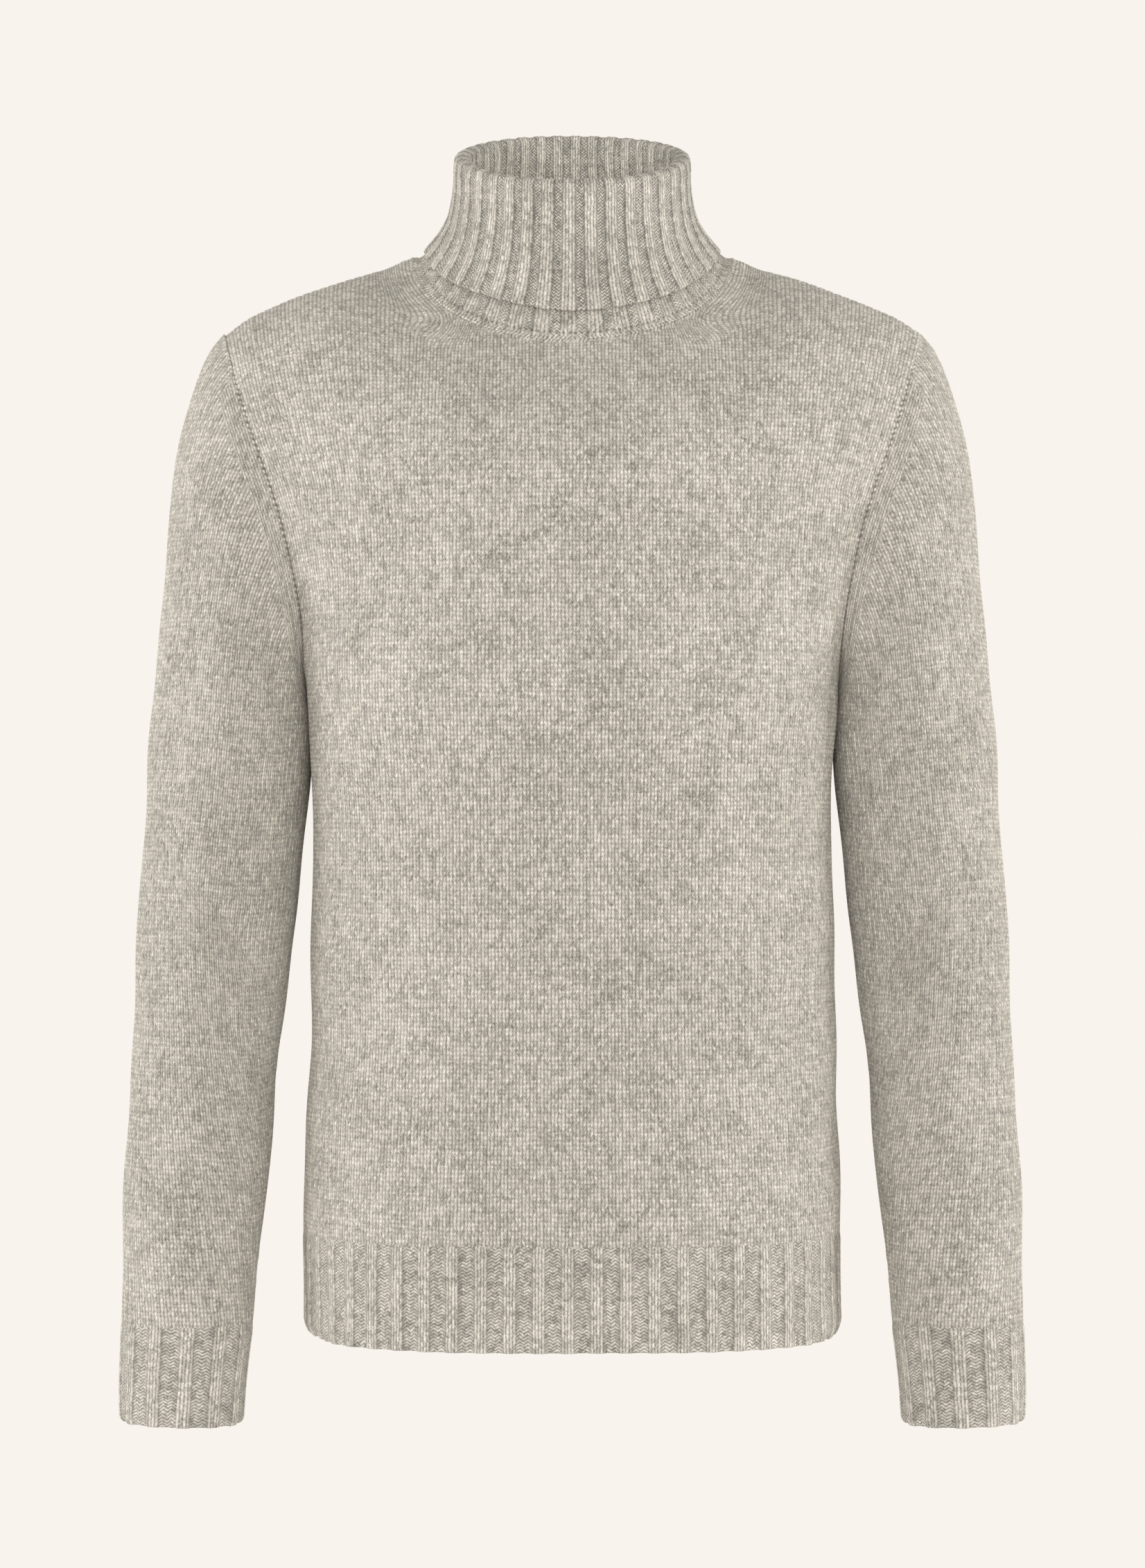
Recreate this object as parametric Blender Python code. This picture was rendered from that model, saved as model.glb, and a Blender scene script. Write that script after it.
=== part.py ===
"""Turtleneck sweater in 2 x 2 ribbed and plain knit, filled out as it hangs on a general figure.

+Z is up, the front faces -Y and +X is the viewer's right. The origin lies midway between the two
points where neck and shoulder meet. Lengths are in millimetres, and METRE turns them into metres.
"""
import math

import bmesh
import bpy
import numpy as np

METRE = 0.001

# Cloth and seams
CLOTH = 2.4
RIB_CLOTH = 2.2
RIB_LIFT = 0.9
SEAM_GAP = 0.3

# Levels
HEM_Z = -664.0
HEM_RIB_TOP_Z = -601.0
ARMPIT_Z = -268.0
ARMPIT_X = 163.0
CHEST_Z = -150.0

# Neck and shoulders
NECK_HALF_WIDTH = 98.0
NECK_FRONT = {"y": -88.0, "z": -60.4}
NECK_BACK = {"y": 72.0, "z": -4.5}
NECK_SIDE_Z = -3.0
NECK_CORNER = 0.08
SHOULDER_TIP = {"x": 216.0, "y": 5.0, "z": -48.0}
NECK_BASE_RISE = 18.0
SHOULDER_BEND = 2.0
SHOULDER_BEND_X = 175.0
NECK_BEND_SHARE = 0.94
EDGE_PULL = 8
NECKLINE_PULL = 3

# Armhole
ARMHOLE_FRONT = 64.0
ARMHOLE_BACK = 60.0
ARMHOLE_MIDDLE_Z = (SHOULDER_TIP["z"] + ARMPIT_Z) / 2
ARMHOLE_REACH = (SHOULDER_TIP["z"] - ARMPIT_Z) / 2
ARMHOLE_OUTWARD = np.array([0.972, 0.0, -0.234])
SHARED_LEAN = 0.5

# Cross-sections
BODY_POWER = 2.7
CHEST_POWER = 2.5
CHEST_FLATTENS_OVER = 110.0

# Ribs, each of two raised wales and two sunk ones
HEM_RIBS_PER_PANEL = 28
CUFF_RIBS = 12
COLLAR_RIBS = 36
RIB_STEPS = (1.0, 1.0, 0.0)
RIB_MIDDLE = 0.5

# Mesh steps
CURVE_POINTS = 400
NECK_STEPS = 18
SHOULDER_STEPS = 6
ARMHOLE_STEPS = 6
YOKE_STEPS = 6
BODY_ROWS_Z = (HEM_RIB_TOP_Z, -520.0, -440.0, -366.0, -314.0)

SIDES = {
    "front": {"sign": -1.0, "armhole": ARMHOLE_FRONT},
    "back": {"sign": 1.0, "armhole": ARMHOLE_BACK},
}

GREY_BEIGE = (0.47, 0.44, 0.38, 1.0)
WOOL_ROUGHNESS = 0.9
SHARP_EDGE = math.radians(50)

# Two lengths this close count as one
CLOSE = 1.0
TINY = 1e-6


def table(columns, rows):
    """Turns rows of numbers into one array for each named column."""
    return dict(zip(columns, np.array(rows, dtype=float).T))


BODY = table(
    ("z", "half_width", "front", "back"),
    (
        (-664, 168.0, 122, 115),
        (-601, 166.4, 122, 113),
        (-520, 164.4, 119, 108),
        (-440, 161.9, 118, 104),
        (-366, 160.4, 121, 108),
        (-314, 160.6, 125, 116),
        (-268, 163.0, 128, 122),
        (-220, 163.0, 129.5, 126),
        (-180, 163.0, 129.5, 127),
        (-150, 163.0, 129.0, 127),
    ),
)

ARMHOLE = table(
    ("z", "x"),
    (
        (ARMPIT_Z, ARMPIT_X),
        (-221, 166.0),
        (-200, 169.5),
        (-170, 176.0),
        (-144, 184.0),
        (-122, 192.0),
        (-92, 202.0),
        (SHOULDER_TIP["z"], SHOULDER_TIP["x"]),
    ),
)

SHOULDER = table(
    ("x", "y", "z"),
    (
        (98.0, 0.0, -3.0),
        (128.0, 1.5, -10.5),
        (157.0, 3.0, -20.8),
        (185.0, 4.2, -31.2),
        (204.0, 4.8, -39.5),
        (216.0, 5.0, -48.0),
    ),
)

SLEEVE = table(
    ("out_x", "out_z", "in_x", "in_z", "front", "back", "mid_y", "armhole_share"),
    (
        (216.0, -48, 163.0, -268, 64, 60, 0.0, 1.00),
        (225.5, -62, 163.4, -273, 66, 62, 0.0, 0.80),
        (235.5, -86, 163.2, -280, 68, 64, 0.0, 0.50),
        (243.6, -121, 162.6, -288, 69, 65, -0.5, 0.20),
        (249.5, -163, 162.1, -298, 68, 65, -1.0, 0.05),
        (254.8, -220, 161.6, -311, 66, 64, -2.0, 0.00),
        (259.6, -278, 162.3, -331, 63, 62, -3.5, 0.00),
        (264.4, -338, 165.4, -360, 60, 59, -5.5, 0.00),
        (268.6, -398, 170.2, -400, 56, 56, -8.0, 0.00),
        (272.2, -469, 178.8, -469, 51, 51, -12.0, 0.00),
        (274.6, -546, 186.6, -546, 45, 45, -16.5, 0.00),
        (276.4, -624, 193.2, -624, 39, 39, -21.0, 0.00),
        (276.9, -657, 196.4, -657, 36, 36, -23.0, 0.00),
        (277.0, -718, 203.2, -718, 31, 31, -26.0, 0.00),
    ),
)
SLEEVE_RINGS = 13
CUFF_STATIONS = (12.0, 12.5, 13.0)

COLLAR = table(
    ("half_width", "front_y", "back_y", "front_z", "side_z", "back_z"),
    (
        (96.8, -86.8, 70.8, -60.4, -3.0, -4.5),
        (87.2, -84.3, 71.8, -43.0, 1.2, 8.0),
        (76.9, -82.0, 71.2, -28.0, 12.1, 22.0),
        (69.3, -78.0, 69.0, -11.0, 23.2, 40.0),
        (65.6, -74.0, 65.0, 10.0, 38.0, 62.0),
        (64.5, -71.2, 60.5, 33.0, 59.0, 82.0),
        (65.5, -72.2, 61.5, 35.5, 61.5, 84.5),
        (68.0, -74.7, 64.0, 36.5, 62.5, 85.5),
        (70.5, -77.2, 66.5, 35.5, 61.5, 84.5),
        (71.5, -78.2, 67.5, 33.0, 59.0, 82.0),
        (71.7, -80.5, 71.0, 10.0, 43.0, 62.0),
        (74.9, -84.0, 75.0, -11.0, 25.4, 40.0),
        (80.3, -87.5, 78.5, -28.0, 14.6, 22.0),
        (89.9, -90.5, 82.0, -42.5, 4.1, 8.5),
    ),
)
COLLAR_BAND_RINGS = 2


def smooth(stations, values, at):
    """Reads a smooth curve through the table's points."""
    slopes = np.gradient(values, stations)
    at = np.clip(at, stations[0], stations[-1])
    i = np.clip(np.searchsorted(stations, at) - 1, 0, len(stations) - 2)
    step = stations[i + 1] - stations[i]
    t = (at - stations[i]) / step
    start = (1 + 2 * t) * (1 - t) ** 2 * values[i] + t * (1 - t) ** 2 * step * slopes[i]
    end = t * t * (3 - 2 * t) * values[i + 1] + t * t * (t - 1) * step * slopes[i + 1]
    return start + end


def ease(share):
    """Goes from 0 to 1 with no corner at either end."""
    return share * share * (3 - 2 * share)


def unit(vectors):
    return vectors / np.maximum(np.linalg.norm(vectors, axis=-1, keepdims=True), 1e-12)


def grid_normals(points, turn, closed):
    """Normals of a grid of points, from the steps to its neighbours."""
    along = np.gradient(points, axis=0)
    if closed:
        across = np.roll(points, -1, axis=1) - np.roll(points, 1, axis=1)
    else:
        across = np.gradient(points, axis=1)
    return turn * unit(np.cross(across, along))


def half_towards(cosine):
    """Rises from 0 at the side to 1 at the centre, with a soft corner at the side."""
    rise = cosine + np.sqrt(cosine**2 + NECK_CORNER**2) - NECK_CORNER
    return rise / (1 + math.sqrt(1 + NECK_CORNER**2) - NECK_CORNER)


def neck_ring(angle, half_width, front_y, back_y, front_z, side_z, back_z):
    """A point of a tilted oval round the neck. The angle is 0 at the centre front."""
    cosine = np.cos(angle)
    y = np.where(cosine > 0, front_y * cosine, -back_y * cosine)
    front = (front_z - side_z) * half_towards(cosine)
    back = (back_z - side_z) * half_towards(-cosine)
    return np.stack([half_width * np.sin(angle), y, side_z + front + back], axis=-1)


def neckline(angle):
    return neck_ring(
        angle, NECK_HALF_WIDTH, NECK_FRONT["y"], NECK_BACK["y"],
        NECK_FRONT["z"], NECK_SIDE_Z, NECK_BACK["z"],
    )


def armhole(turn, depth_sign, depth):
    """A point of the right armhole. The turn is 0 at the shoulder and pi at the armpit."""
    z = ARMHOLE_MIDDLE_Z + ARMHOLE_REACH * np.cos(turn)
    y = SHOULDER_TIP["y"] * (1 + np.cos(turn)) / 2 + depth_sign * depth * np.sin(turn)
    return np.stack([smooth(ARMHOLE["z"], ARMHOLE["x"], z), y, z], axis=-1)


def armhole_turn(z):
    return math.acos((z - ARMHOLE_MIDDLE_Z) / ARMHOLE_REACH)


def spread_along(x, y, z, shares):
    """Points at shares -1 to 1 of a curve's length, mirrored about its middle."""
    length = np.concatenate([[0], np.cumsum(np.hypot(np.diff(x), np.diff(y)))])
    reach = np.abs(shares) * length[-1]
    across = np.sign(shares) * np.interp(reach, length, x)
    return np.stack([across, np.interp(reach, length, y), np.full_like(across, z)], axis=-1)


def body_row(z, side, shares):
    """Points across one panel at one level, at shares -1 to 1 of the way to its edges."""
    spec = SIDES[side]
    middle_y = spec["sign"] * smooth(BODY["z"], BODY[side], z)
    below_armhole = z <= ARMPIT_Z
    if below_armhole:
        edge_x, edge_y = smooth(BODY["z"], BODY["half_width"], z), 0.0
    else:
        edge_x, edge_y, _ = armhole(armhole_turn(z), spec["sign"], spec["armhole"])
    cut = math.acos(max(0.0, edge_y / middle_y) ** (BODY_POWER / 2))
    full_x = edge_x / math.sin(cut) ** (2 / BODY_POWER)
    t = np.linspace(0, cut, CURVE_POINTS)
    oval_x = full_x * np.sin(t) ** (2 / BODY_POWER)
    oval_y = middle_y * np.cos(t) ** (2 / BODY_POWER)
    oval = spread_along(oval_x, oval_y, z, shares)
    if below_armhole:
        return oval
    t = np.linspace(0, math.pi / 2, CURVE_POINTS)
    chest_x = edge_x * np.sin(t) ** (2 / CHEST_POWER)
    chest_y = edge_y + (middle_y - edge_y) * np.cos(t) ** 2
    chest = spread_along(chest_x, chest_y, z, shares)
    rise = min(1.0, (z - ARMPIT_Z) / CHEST_FLATTENS_OVER)
    return oval + (chest - oval) * ease(rise)


def neck_angle(side, x):
    angle = np.arcsin(np.clip(x / NECK_HALF_WIDTH, -1, 1))
    return angle if side == "front" else math.pi - angle


def ridge_line(x):
    """The crest from shoulder to shoulder, carried on over the neck opening."""
    reach = np.maximum(np.abs(x), NECK_HALF_WIDTH)
    y, z = (smooth(SHOULDER["x"], SHOULDER[axis], reach) for axis in ("y", "z"))
    return y, z + NECK_BASE_RISE * (1 - np.minimum(np.abs(x) / NECK_HALF_WIDTH, 1) ** 2)


def yoke_bend(side, x, chest_y):
    """How round the cloth bends from the chest line to the crest, which sets its neckline."""
    inner = np.clip(np.abs(x), 0, NECK_BEND_SHARE * NECK_HALF_WIDTH)
    point = neckline(neck_angle(side, inner))
    ridge_y, ridge_z = ridge_line(inner)
    y_share = (point[:, 1] - ridge_y) / (chest_y - ridge_y)
    z_share = (point[:, 2] - CHEST_Z) / (ridge_z - CHEST_Z)
    bend = 2 * np.log(np.sqrt(1 - z_share**2)) / np.log(y_share)
    out = np.clip((np.abs(x) - NECK_HALF_WIDTH) / (SHOULDER_BEND_X - NECK_HALF_WIDTH), 0, 1)
    return bend + (SHOULDER_BEND - bend) * ease(out)


def panel_points(side):
    """The outer face of a body panel from its rib band to the neckline and the shoulders."""
    sign = SIDES[side]["sign"]
    neck_x = NECK_HALF_WIDTH * np.sin(np.linspace(-math.pi / 2, math.pi / 2, NECK_STEPS + 1))
    shoulder_x = np.linspace(NECK_HALF_WIDTH, SHOULDER_TIP["x"], SHOULDER_STEPS + 1)[1:]
    top_x = np.concatenate([-shoulder_x[::-1], neck_x, shoulder_x])

    fine = np.linspace(-1, 1, 2 * CURVE_POINTS + 1)
    chest = body_row(CHEST_Z, side, fine)
    chest_x = np.interp(
        np.abs(top_x), (0, NECK_HALF_WIDTH, SHOULDER_TIP["x"]), (0, NECK_HALF_WIDTH, chest[-1, 0])
    )
    shares = np.interp(chest_x * np.sign(top_x), chest[:, 0], fine)
    turns = np.linspace(math.pi, armhole_turn(CHEST_Z), ARMHOLE_STEPS + 1)
    levels = [*BODY_ROWS_Z, *ARMHOLE_MIDDLE_Z + ARMHOLE_REACH * np.cos(turns)]
    rows = [body_row(z, side, shares) for z in levels]

    start = rows[-1]
    ridge_y, ridge_z = ridge_line(top_x)
    bend = yoke_bend(side, top_x, start[:, 1])
    on_neck = np.abs(top_x) <= NECK_HALF_WIDTH + TINY
    end = np.stack([top_x, ridge_y, ridge_z], axis=-1)
    end[on_neck] = neckline(neck_angle(side, top_x[on_neck]))
    cut = np.clip((end[:, 1] - ridge_y) / (start[:, 1] - ridge_y), 0, 1)
    turn = np.linspace(0, 1, CURVE_POINTS)[:, None] * np.arccos(cut ** (bend / 2))
    y = ridge_y + (start[:, 1] - ridge_y) * np.maximum(np.cos(turn), 0) ** (2 / bend)
    z = CHEST_Z + (ridge_z - CHEST_Z) * np.sin(turn)
    steps = np.hypot(np.diff(y, axis=0, prepend=y[:1]), np.diff(z, axis=0, prepend=z[:1]))
    length = np.cumsum(steps, axis=0)
    for v in np.arange(1, YOKE_STEPS + 1) / YOKE_STEPS:
        edge = armhole(armhole_turn(CHEST_Z) * (1 - v), sign, SIDES[side]["armhole"])
        out = (edge[0] - start[-1, 0]) / (SHOULDER_TIP["x"] - start[-1, 0])
        row = np.stack(
            [
                start[:, 0] + (top_x - start[:, 0]) * out,
                [np.interp(v * length[-1, j], length[:, j], y[:, j]) for j in range(len(top_x))],
                [np.interp(v * length[-1, j], length[:, j], z[:, j]) for j in range(len(top_x))],
            ],
            axis=-1,
        )
        row += v**NECKLINE_PULL * (end - np.stack([top_x, y[-1], z[-1]], axis=-1))
        slide = (edge - row[-1]) * np.stack([np.sign(shares), shares**0, shares**0], axis=-1)
        rows.append(row + (np.abs(shares) ** EDGE_PULL)[:, None] * slide)
    return np.array(rows)


def sleeve_turns():
    """The turns round the sleeve at which the panels' rows end on the armhole."""
    lower = np.linspace(math.pi, armhole_turn(CHEST_Z), ARMHOLE_STEPS + 1)
    upper = armhole_turn(CHEST_Z) * (1 - np.arange(1, YOKE_STEPS + 1) / YOKE_STEPS)
    return np.concatenate([lower, upper])


def sleeve_ring(station, turns, depth_sign):
    """Half of a ring of the right sleeve, in front of its middle or behind it."""
    stations = np.arange(len(SLEEVE["out_x"]), dtype=float)
    at = {name: smooth(stations, column, station) for name, column in SLEEVE.items()}
    depth = at["front"] if depth_sign < 0 else at["back"]
    share = at["armhole_share"]
    cosine = np.cos(turns)
    x = (at["out_x"] + at["in_x"]) / 2 + (at["out_x"] - at["in_x"]) / 2 * cosine
    z = (at["out_z"] + at["in_z"]) / 2 + (at["out_z"] - at["in_z"]) / 2 * cosine
    y = at["mid_y"] + share * SHOULDER_TIP["y"] * (1 + cosine) / 2
    y = y + depth_sign * depth * np.sin(turns)
    edge = armhole(turns, depth_sign, depth)
    chord = np.interp(edge[:, 2], (ARMPIT_Z, SHOULDER_TIP["z"]), (ARMPIT_X, SHOULDER_TIP["x"]))
    return np.stack([x + share * (edge[:, 0] - chord), y, z], axis=-1)


def sleeve_points(stations, front_turns, back_turns):
    """Rings of the right sleeve, each from the armpit up its front and down its back."""
    rings = []
    for station in stations:
        front = sleeve_ring(station, front_turns, -1.0)
        back = sleeve_ring(station, back_turns, 1.0)
        rings.append(np.concatenate([front, back[1:-1]]))
    return np.array(rings)


def rib_heights(count):
    """How high each point across a rib band is raised, as a share of the lift."""
    return np.tile(RIB_STEPS, count)


def new_material(name):
    material = bpy.data.materials.new(name)
    material.use_nodes = True
    shader = material.node_tree.nodes["Principled BSDF"]
    shader.inputs["Base Color"].default_value = GREY_BEIGE
    shader.inputs["Roughness"].default_value = WOOL_ROUGHNESS
    shader.inputs["Metallic"].default_value = 0.0
    return material


def make_wall(name, outer, inner, closed):
    """One solid between two grids of points, with a rim along each open edge."""
    rows, columns = outer.shape[:2]
    points = np.concatenate([outer.reshape(-1, 3), inner.reshape(-1, 3)]) * METRE
    behind = rows * columns
    last = columns if closed else columns - 1
    faces = []
    for i in range(rows - 1):
        for j in range(last):
            k = (j + 1) % columns
            a, b = i * columns + j, i * columns + k
            c, d = (i + 1) * columns + k, (i + 1) * columns + j
            faces.append((a, b, c, d))
            faces.append((behind + d, behind + c, behind + b, behind + a))
    edge_runs = [
        [(row * columns + j, row * columns + (j + 1) % columns) for j in range(last)]
        for row in (0, rows - 1)
    ]
    if not closed:
        edge_runs += [
            [(i * columns + j, (i + 1) * columns + j) for i in range(rows - 1)]
            for j in (0, columns - 1)
        ]
    for run in edge_runs:
        faces += [(a, b, behind + b, behind + a) for a, b in run]
    mesh = bpy.data.meshes.new(name)
    mesh.from_pydata(points.tolist(), [], faces)
    work = bmesh.new()
    work.from_mesh(mesh)
    bmesh.ops.recalc_face_normals(work, faces=work.faces)
    work.to_mesh(mesh)
    work.free()
    mesh.shade_smooth()
    mesh.set_sharp_from_angle(angle=SHARP_EDGE)
    mesh.materials.append(new_material(name))
    item = bpy.data.objects.new(name, mesh)
    bpy.context.scene.collection.objects.link(item)
    return item


def mirrored(points):
    return points * (-1, 1, 1)


def build_panels_and_sleeves():
    """Both panels and both sleeves, whose walls lean the same way where they meet."""
    half_gap = SEAM_GAP / 2
    turns = sleeve_turns()
    sleeve = sleeve_points(range(SLEEVE_RINGS), turns, turns[::-1])
    sleeve_out = grid_normals(sleeve, -1.0, True)
    armhole_row = len(BODY_ROWS_Z)
    sleeve[0] += half_gap * ARMHOLE_OUTWARD
    sleeve[-1, :, 2] += half_gap

    for side in SIDES:
        sign = SIDES[side]["sign"]
        points = panel_points(side)
        out = grid_normals(points, -sign, False)
        on_neck = np.abs(points[-1, :, 0]) < NECK_HALF_WIDTH - CLOSE
        out[-1, ~on_neck, 1] = 0.0
        out[: armhole_row + 1, (0, -1), 1] = 0.0
        out = unit(out)
        ring = np.arange(len(turns)) if side == "front" else -np.arange(len(turns))
        shared = out[armhole_row:, -1] + sleeve_out[0, ring]
        agree = (out[armhole_row:, -1] * sleeve_out[0, ring]).sum(axis=1) > SHARED_LEAN
        shared = unit(shared)[agree]
        out[armhole_row:, -1][agree] = shared
        out[armhole_row:, 0][agree] = mirrored(shared)
        sleeve_out[0, ring[agree]] = shared

        inward = unit(points[-1] - points[-2])
        at_collar = np.abs(points[-1, :, 0]) < NECK_HALF_WIDTH + CLOSE
        points[-1][at_collar] -= half_gap * inward[at_collar]
        points[-1, ~on_neck, 1] += sign * half_gap
        points[armhole_row:, -1] -= half_gap * ARMHOLE_OUTWARD
        points[armhole_row:, 0] -= half_gap * mirrored(ARMHOLE_OUTWARD)
        points[: armhole_row + 1, 0, 1] += sign * half_gap
        points[: armhole_row + 1, -1, 1] += sign * half_gap
        points[0, :, 2] += half_gap
        make_wall(f"{side}_body", points, points - CLOTH * out, False)

    inner = sleeve - CLOTH * sleeve_out
    make_wall("sleeve_right", sleeve, inner, True)
    make_wall("sleeve_left", mirrored(sleeve), mirrored(inner), True)


def build_hem_ribs():
    half_gap = SEAM_GAP / 2
    heights = rib_heights(HEM_RIBS_PER_PANEL)
    heights = np.append(heights, heights[0])
    shares = np.linspace(-1, 1, len(heights))
    levels = (HEM_Z, (HEM_Z + HEM_RIB_TOP_Z) / 2, HEM_RIB_TOP_Z - half_gap)
    for side in SIDES:
        sign = SIDES[side]["sign"]
        base = np.array([body_row(z, side, shares) for z in levels])
        out = grid_normals(base, -sign, False)
        out[:, (0, -1)] *= (1, 0, 0)
        out = unit(out)
        base[:, (0, -1), 1] += sign * half_gap
        outer = base + out * RIB_LIFT * (heights[None, :, None] - RIB_MIDDLE)
        make_wall(f"hem_rib_{side}", outer, base - RIB_CLOTH * out, False)


def build_cuffs():
    heights = rib_heights(CUFF_RIBS)
    around = np.linspace(0, 2 * math.pi, len(heights), endpoint=False)
    front_turns = math.pi - around[around <= math.pi + TINY]
    back_turns = np.concatenate([[0.0], around[around > math.pi + TINY] - math.pi, [math.pi]])
    base = sleeve_points(CUFF_STATIONS, front_turns, back_turns)
    base[0, :, 2] -= SEAM_GAP / 2
    out = grid_normals(base, -1.0, True)
    outer = base + out * RIB_LIFT * (heights[None, :, None] - RIB_MIDDLE)
    inner = base - RIB_CLOTH * out
    make_wall("cuff_right", outer, inner, True)
    make_wall("cuff_left", mirrored(outer), mirrored(inner), True)


def build_collar():
    """One sheet that stands up from the neckline, rolls over at its rim and folds down outside."""
    heights = rib_heights(COLLAR_RIBS)
    angles = np.linspace(0, 2 * math.pi, len(heights), endpoint=False)
    rings = [
        neck_ring(angles, *(COLLAR[name][i] for name in COLLAR))
        for i in range(len(COLLAR["half_width"]))
    ]
    middle = np.array(rings)
    corners = 2 * NECK_STEPS
    per_corner = len(angles) // corners
    chords = np.append(np.arange(0, len(angles), per_corner), len(angles))
    for axis in range(3):
        at_corners = np.append(middle[0, ::per_corner, axis], middle[0, 0, axis])
        middle[0, :, axis] = np.interp(np.arange(len(angles)), chords, at_corners)
    middle[0] += SEAM_GAP / 2 * unit(middle[1] - middle[0])
    seen = grid_normals(middle, -1.0, True)
    lift = heights[None, :, None] * RIB_LIFT
    half = RIB_CLOTH / 2
    face = middle + seen * (half + lift)
    hidden_lift = np.zeros((len(middle), 1, 1))
    hidden_lift[:COLLAR_BAND_RINGS] = 1.0
    back = middle - seen * (half + hidden_lift * (RIB_LIFT - lift))
    make_wall("collar", face, back, True)


def build():
    for item in list(bpy.data.objects):
        bpy.data.objects.remove(item, do_unlink=True)
    build_panels_and_sleeves()
    build_hem_ribs()
    build_cuffs()
    build_collar()


build()
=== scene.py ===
"""Looks of the turtleneck sweater: knitted shells, their stitches, seams, light and camera.

+Z is up, the front faces -Y and +X is the viewer's right. Lengths are in millimetres until a mesh
is made, and METRE turns them into metres. Along the cloth, wales are counted across the knitting
and courses up it.
"""
import math
from functools import partialmethod

import bpy
import numpy as np
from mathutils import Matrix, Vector


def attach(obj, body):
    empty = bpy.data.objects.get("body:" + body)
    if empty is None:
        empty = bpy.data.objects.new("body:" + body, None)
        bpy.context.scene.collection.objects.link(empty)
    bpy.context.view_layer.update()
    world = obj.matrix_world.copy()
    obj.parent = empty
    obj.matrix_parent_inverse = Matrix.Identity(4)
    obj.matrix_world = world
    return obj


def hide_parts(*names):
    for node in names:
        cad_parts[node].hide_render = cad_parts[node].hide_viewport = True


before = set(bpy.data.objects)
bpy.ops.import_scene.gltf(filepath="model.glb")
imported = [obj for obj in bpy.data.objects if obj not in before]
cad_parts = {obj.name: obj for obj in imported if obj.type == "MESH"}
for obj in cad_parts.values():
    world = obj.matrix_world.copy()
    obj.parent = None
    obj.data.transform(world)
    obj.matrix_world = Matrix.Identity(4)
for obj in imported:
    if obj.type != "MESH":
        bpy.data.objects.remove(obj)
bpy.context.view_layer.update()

METRE = 0.001

# Cloth
CLOTH = 2.4
RIB_CLOTH = 2.2
SEAM_GAP = 0.06

# Levels
HEM_Z = -664.0
HEM_RIB_TOP_Z = -601.0
ARMPIT_Z = -268.0
ARMPIT_X = 163.0
CHEST_Z = -150.0

# Neck and shoulders
NECK_HALF_WIDTH = 98.0
NECK_FRONT = {"y": -88.0, "z": -60.4}
NECK_BACK = {"y": 72.0, "z": -4.5}
NECK_SIDE_Z = -3.0
NECK_CORNER = 0.08
SHOULDER_TIP = {"x": 216.0, "y": 5.0, "z": -48.0}
NECK_BASE_RISE = 18.0
SHOULDER_BEND = 2.0
SHOULDER_BEND_X = 175.0
NECK_BEND_SHARE = 0.94
EDGE_PULL = 8
NECKLINE_PULL = 3

# Armhole
ARMHOLE_MIDDLE_Z = (SHOULDER_TIP["z"] + ARMPIT_Z) / 2
ARMHOLE_REACH = (SHOULDER_TIP["z"] - ARMPIT_Z) / 2
ARMHOLE_OUTWARD = np.array([0.972, 0.0, -0.234])

# Cross-sections
BODY_POWER = 2.7
CHEST_POWER = 2.5
CHEST_FLATTENS_OVER = 110.0

# Knitting
BODY_WALES = 56
SLEEVE_WALES = 46
WALE = 4.46
COURSE = 2.8
STEPS_PER_WALE = 4
EDGE_BAND_WALES = 4
UNDERARM_BAND_WALES = 2
HEM_RIBS_PER_PANEL = 28
CUFF_RIBS = 12
COLLAR_RIBS = 36
WALES_PER_RIB = 4
STEPS_PER_RIB = 16
RIB_CENTRE = -1 / 6
RIB_SOFT = 0.07

# Relief of the stitches, from the middle of the cloth's face
WALE_RELIEF = 0.3
WALE_CENTRE_RELIEF = 0.1

# What each point knows of the seams, and the distance to one that it isn't near
SEAMS = ("armhole", "neck", "along", "roll")
FAR = 99.0
TINY = 1e-6
SMALLEST = 1e-12

# How far from a seam its two pieces still share their slope
SHARED_REACH = 7.0
SHARED_AGREE = (0.15, 0.6)
SEAM_REACH = 1.8
NECK_CORNER_REACH = 6.0
# Between these widths from the middle the knit turns to run along the neckline
NECK_TURN = (52.0, 84.0)
# and from here on, further from the neckline, it runs straight up again
NECK_BAND = (8.0, 30.0)

# Mesh steps
NECK_MARKS = 241
CURVE_POINTS = 400
ROW_STEP = 3.25
ARMPIT_ROWS = (0.2, 0.8, 1.8)
BAND_ROW_STEP = 1.12
# The inner faces take every so many columns and rows of the outer ones
INNER_STEPS = (4, 3)
COLLAR_INNER_STEPS = (2, 2)
SLEEVE_TURNS = 121
SLEEVE_STATION_STEPS = 24
SLEEVE_BAND_TURN = 0.2 * math.pi
RIB_ROW_STEP = 2.6
SHARP_EDGE = math.radians(58)
# Rows close to the neckline, in millimetres below it
NECK_ROWS = (0.0, 0.6, 1.2, 1.8, 2.5, 3.4, 4.6)
# Rows close to a free edge, where the cloth's edge is round
EDGE_ROWS = (0.0, 0.12, 0.35, 0.7, 1.2, 2.2, 3.6, 5.6)

SIDES = {
    "front": {"sign": -1.0, "armhole": 64.0},
    "back": {"sign": 1.0, "armhole": 60.0},
}


def table(columns, *rows):
    """Turns rows of numbers into one array for each named column."""
    return dict(zip(columns.split(), np.array(rows, dtype=float).T))


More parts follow.
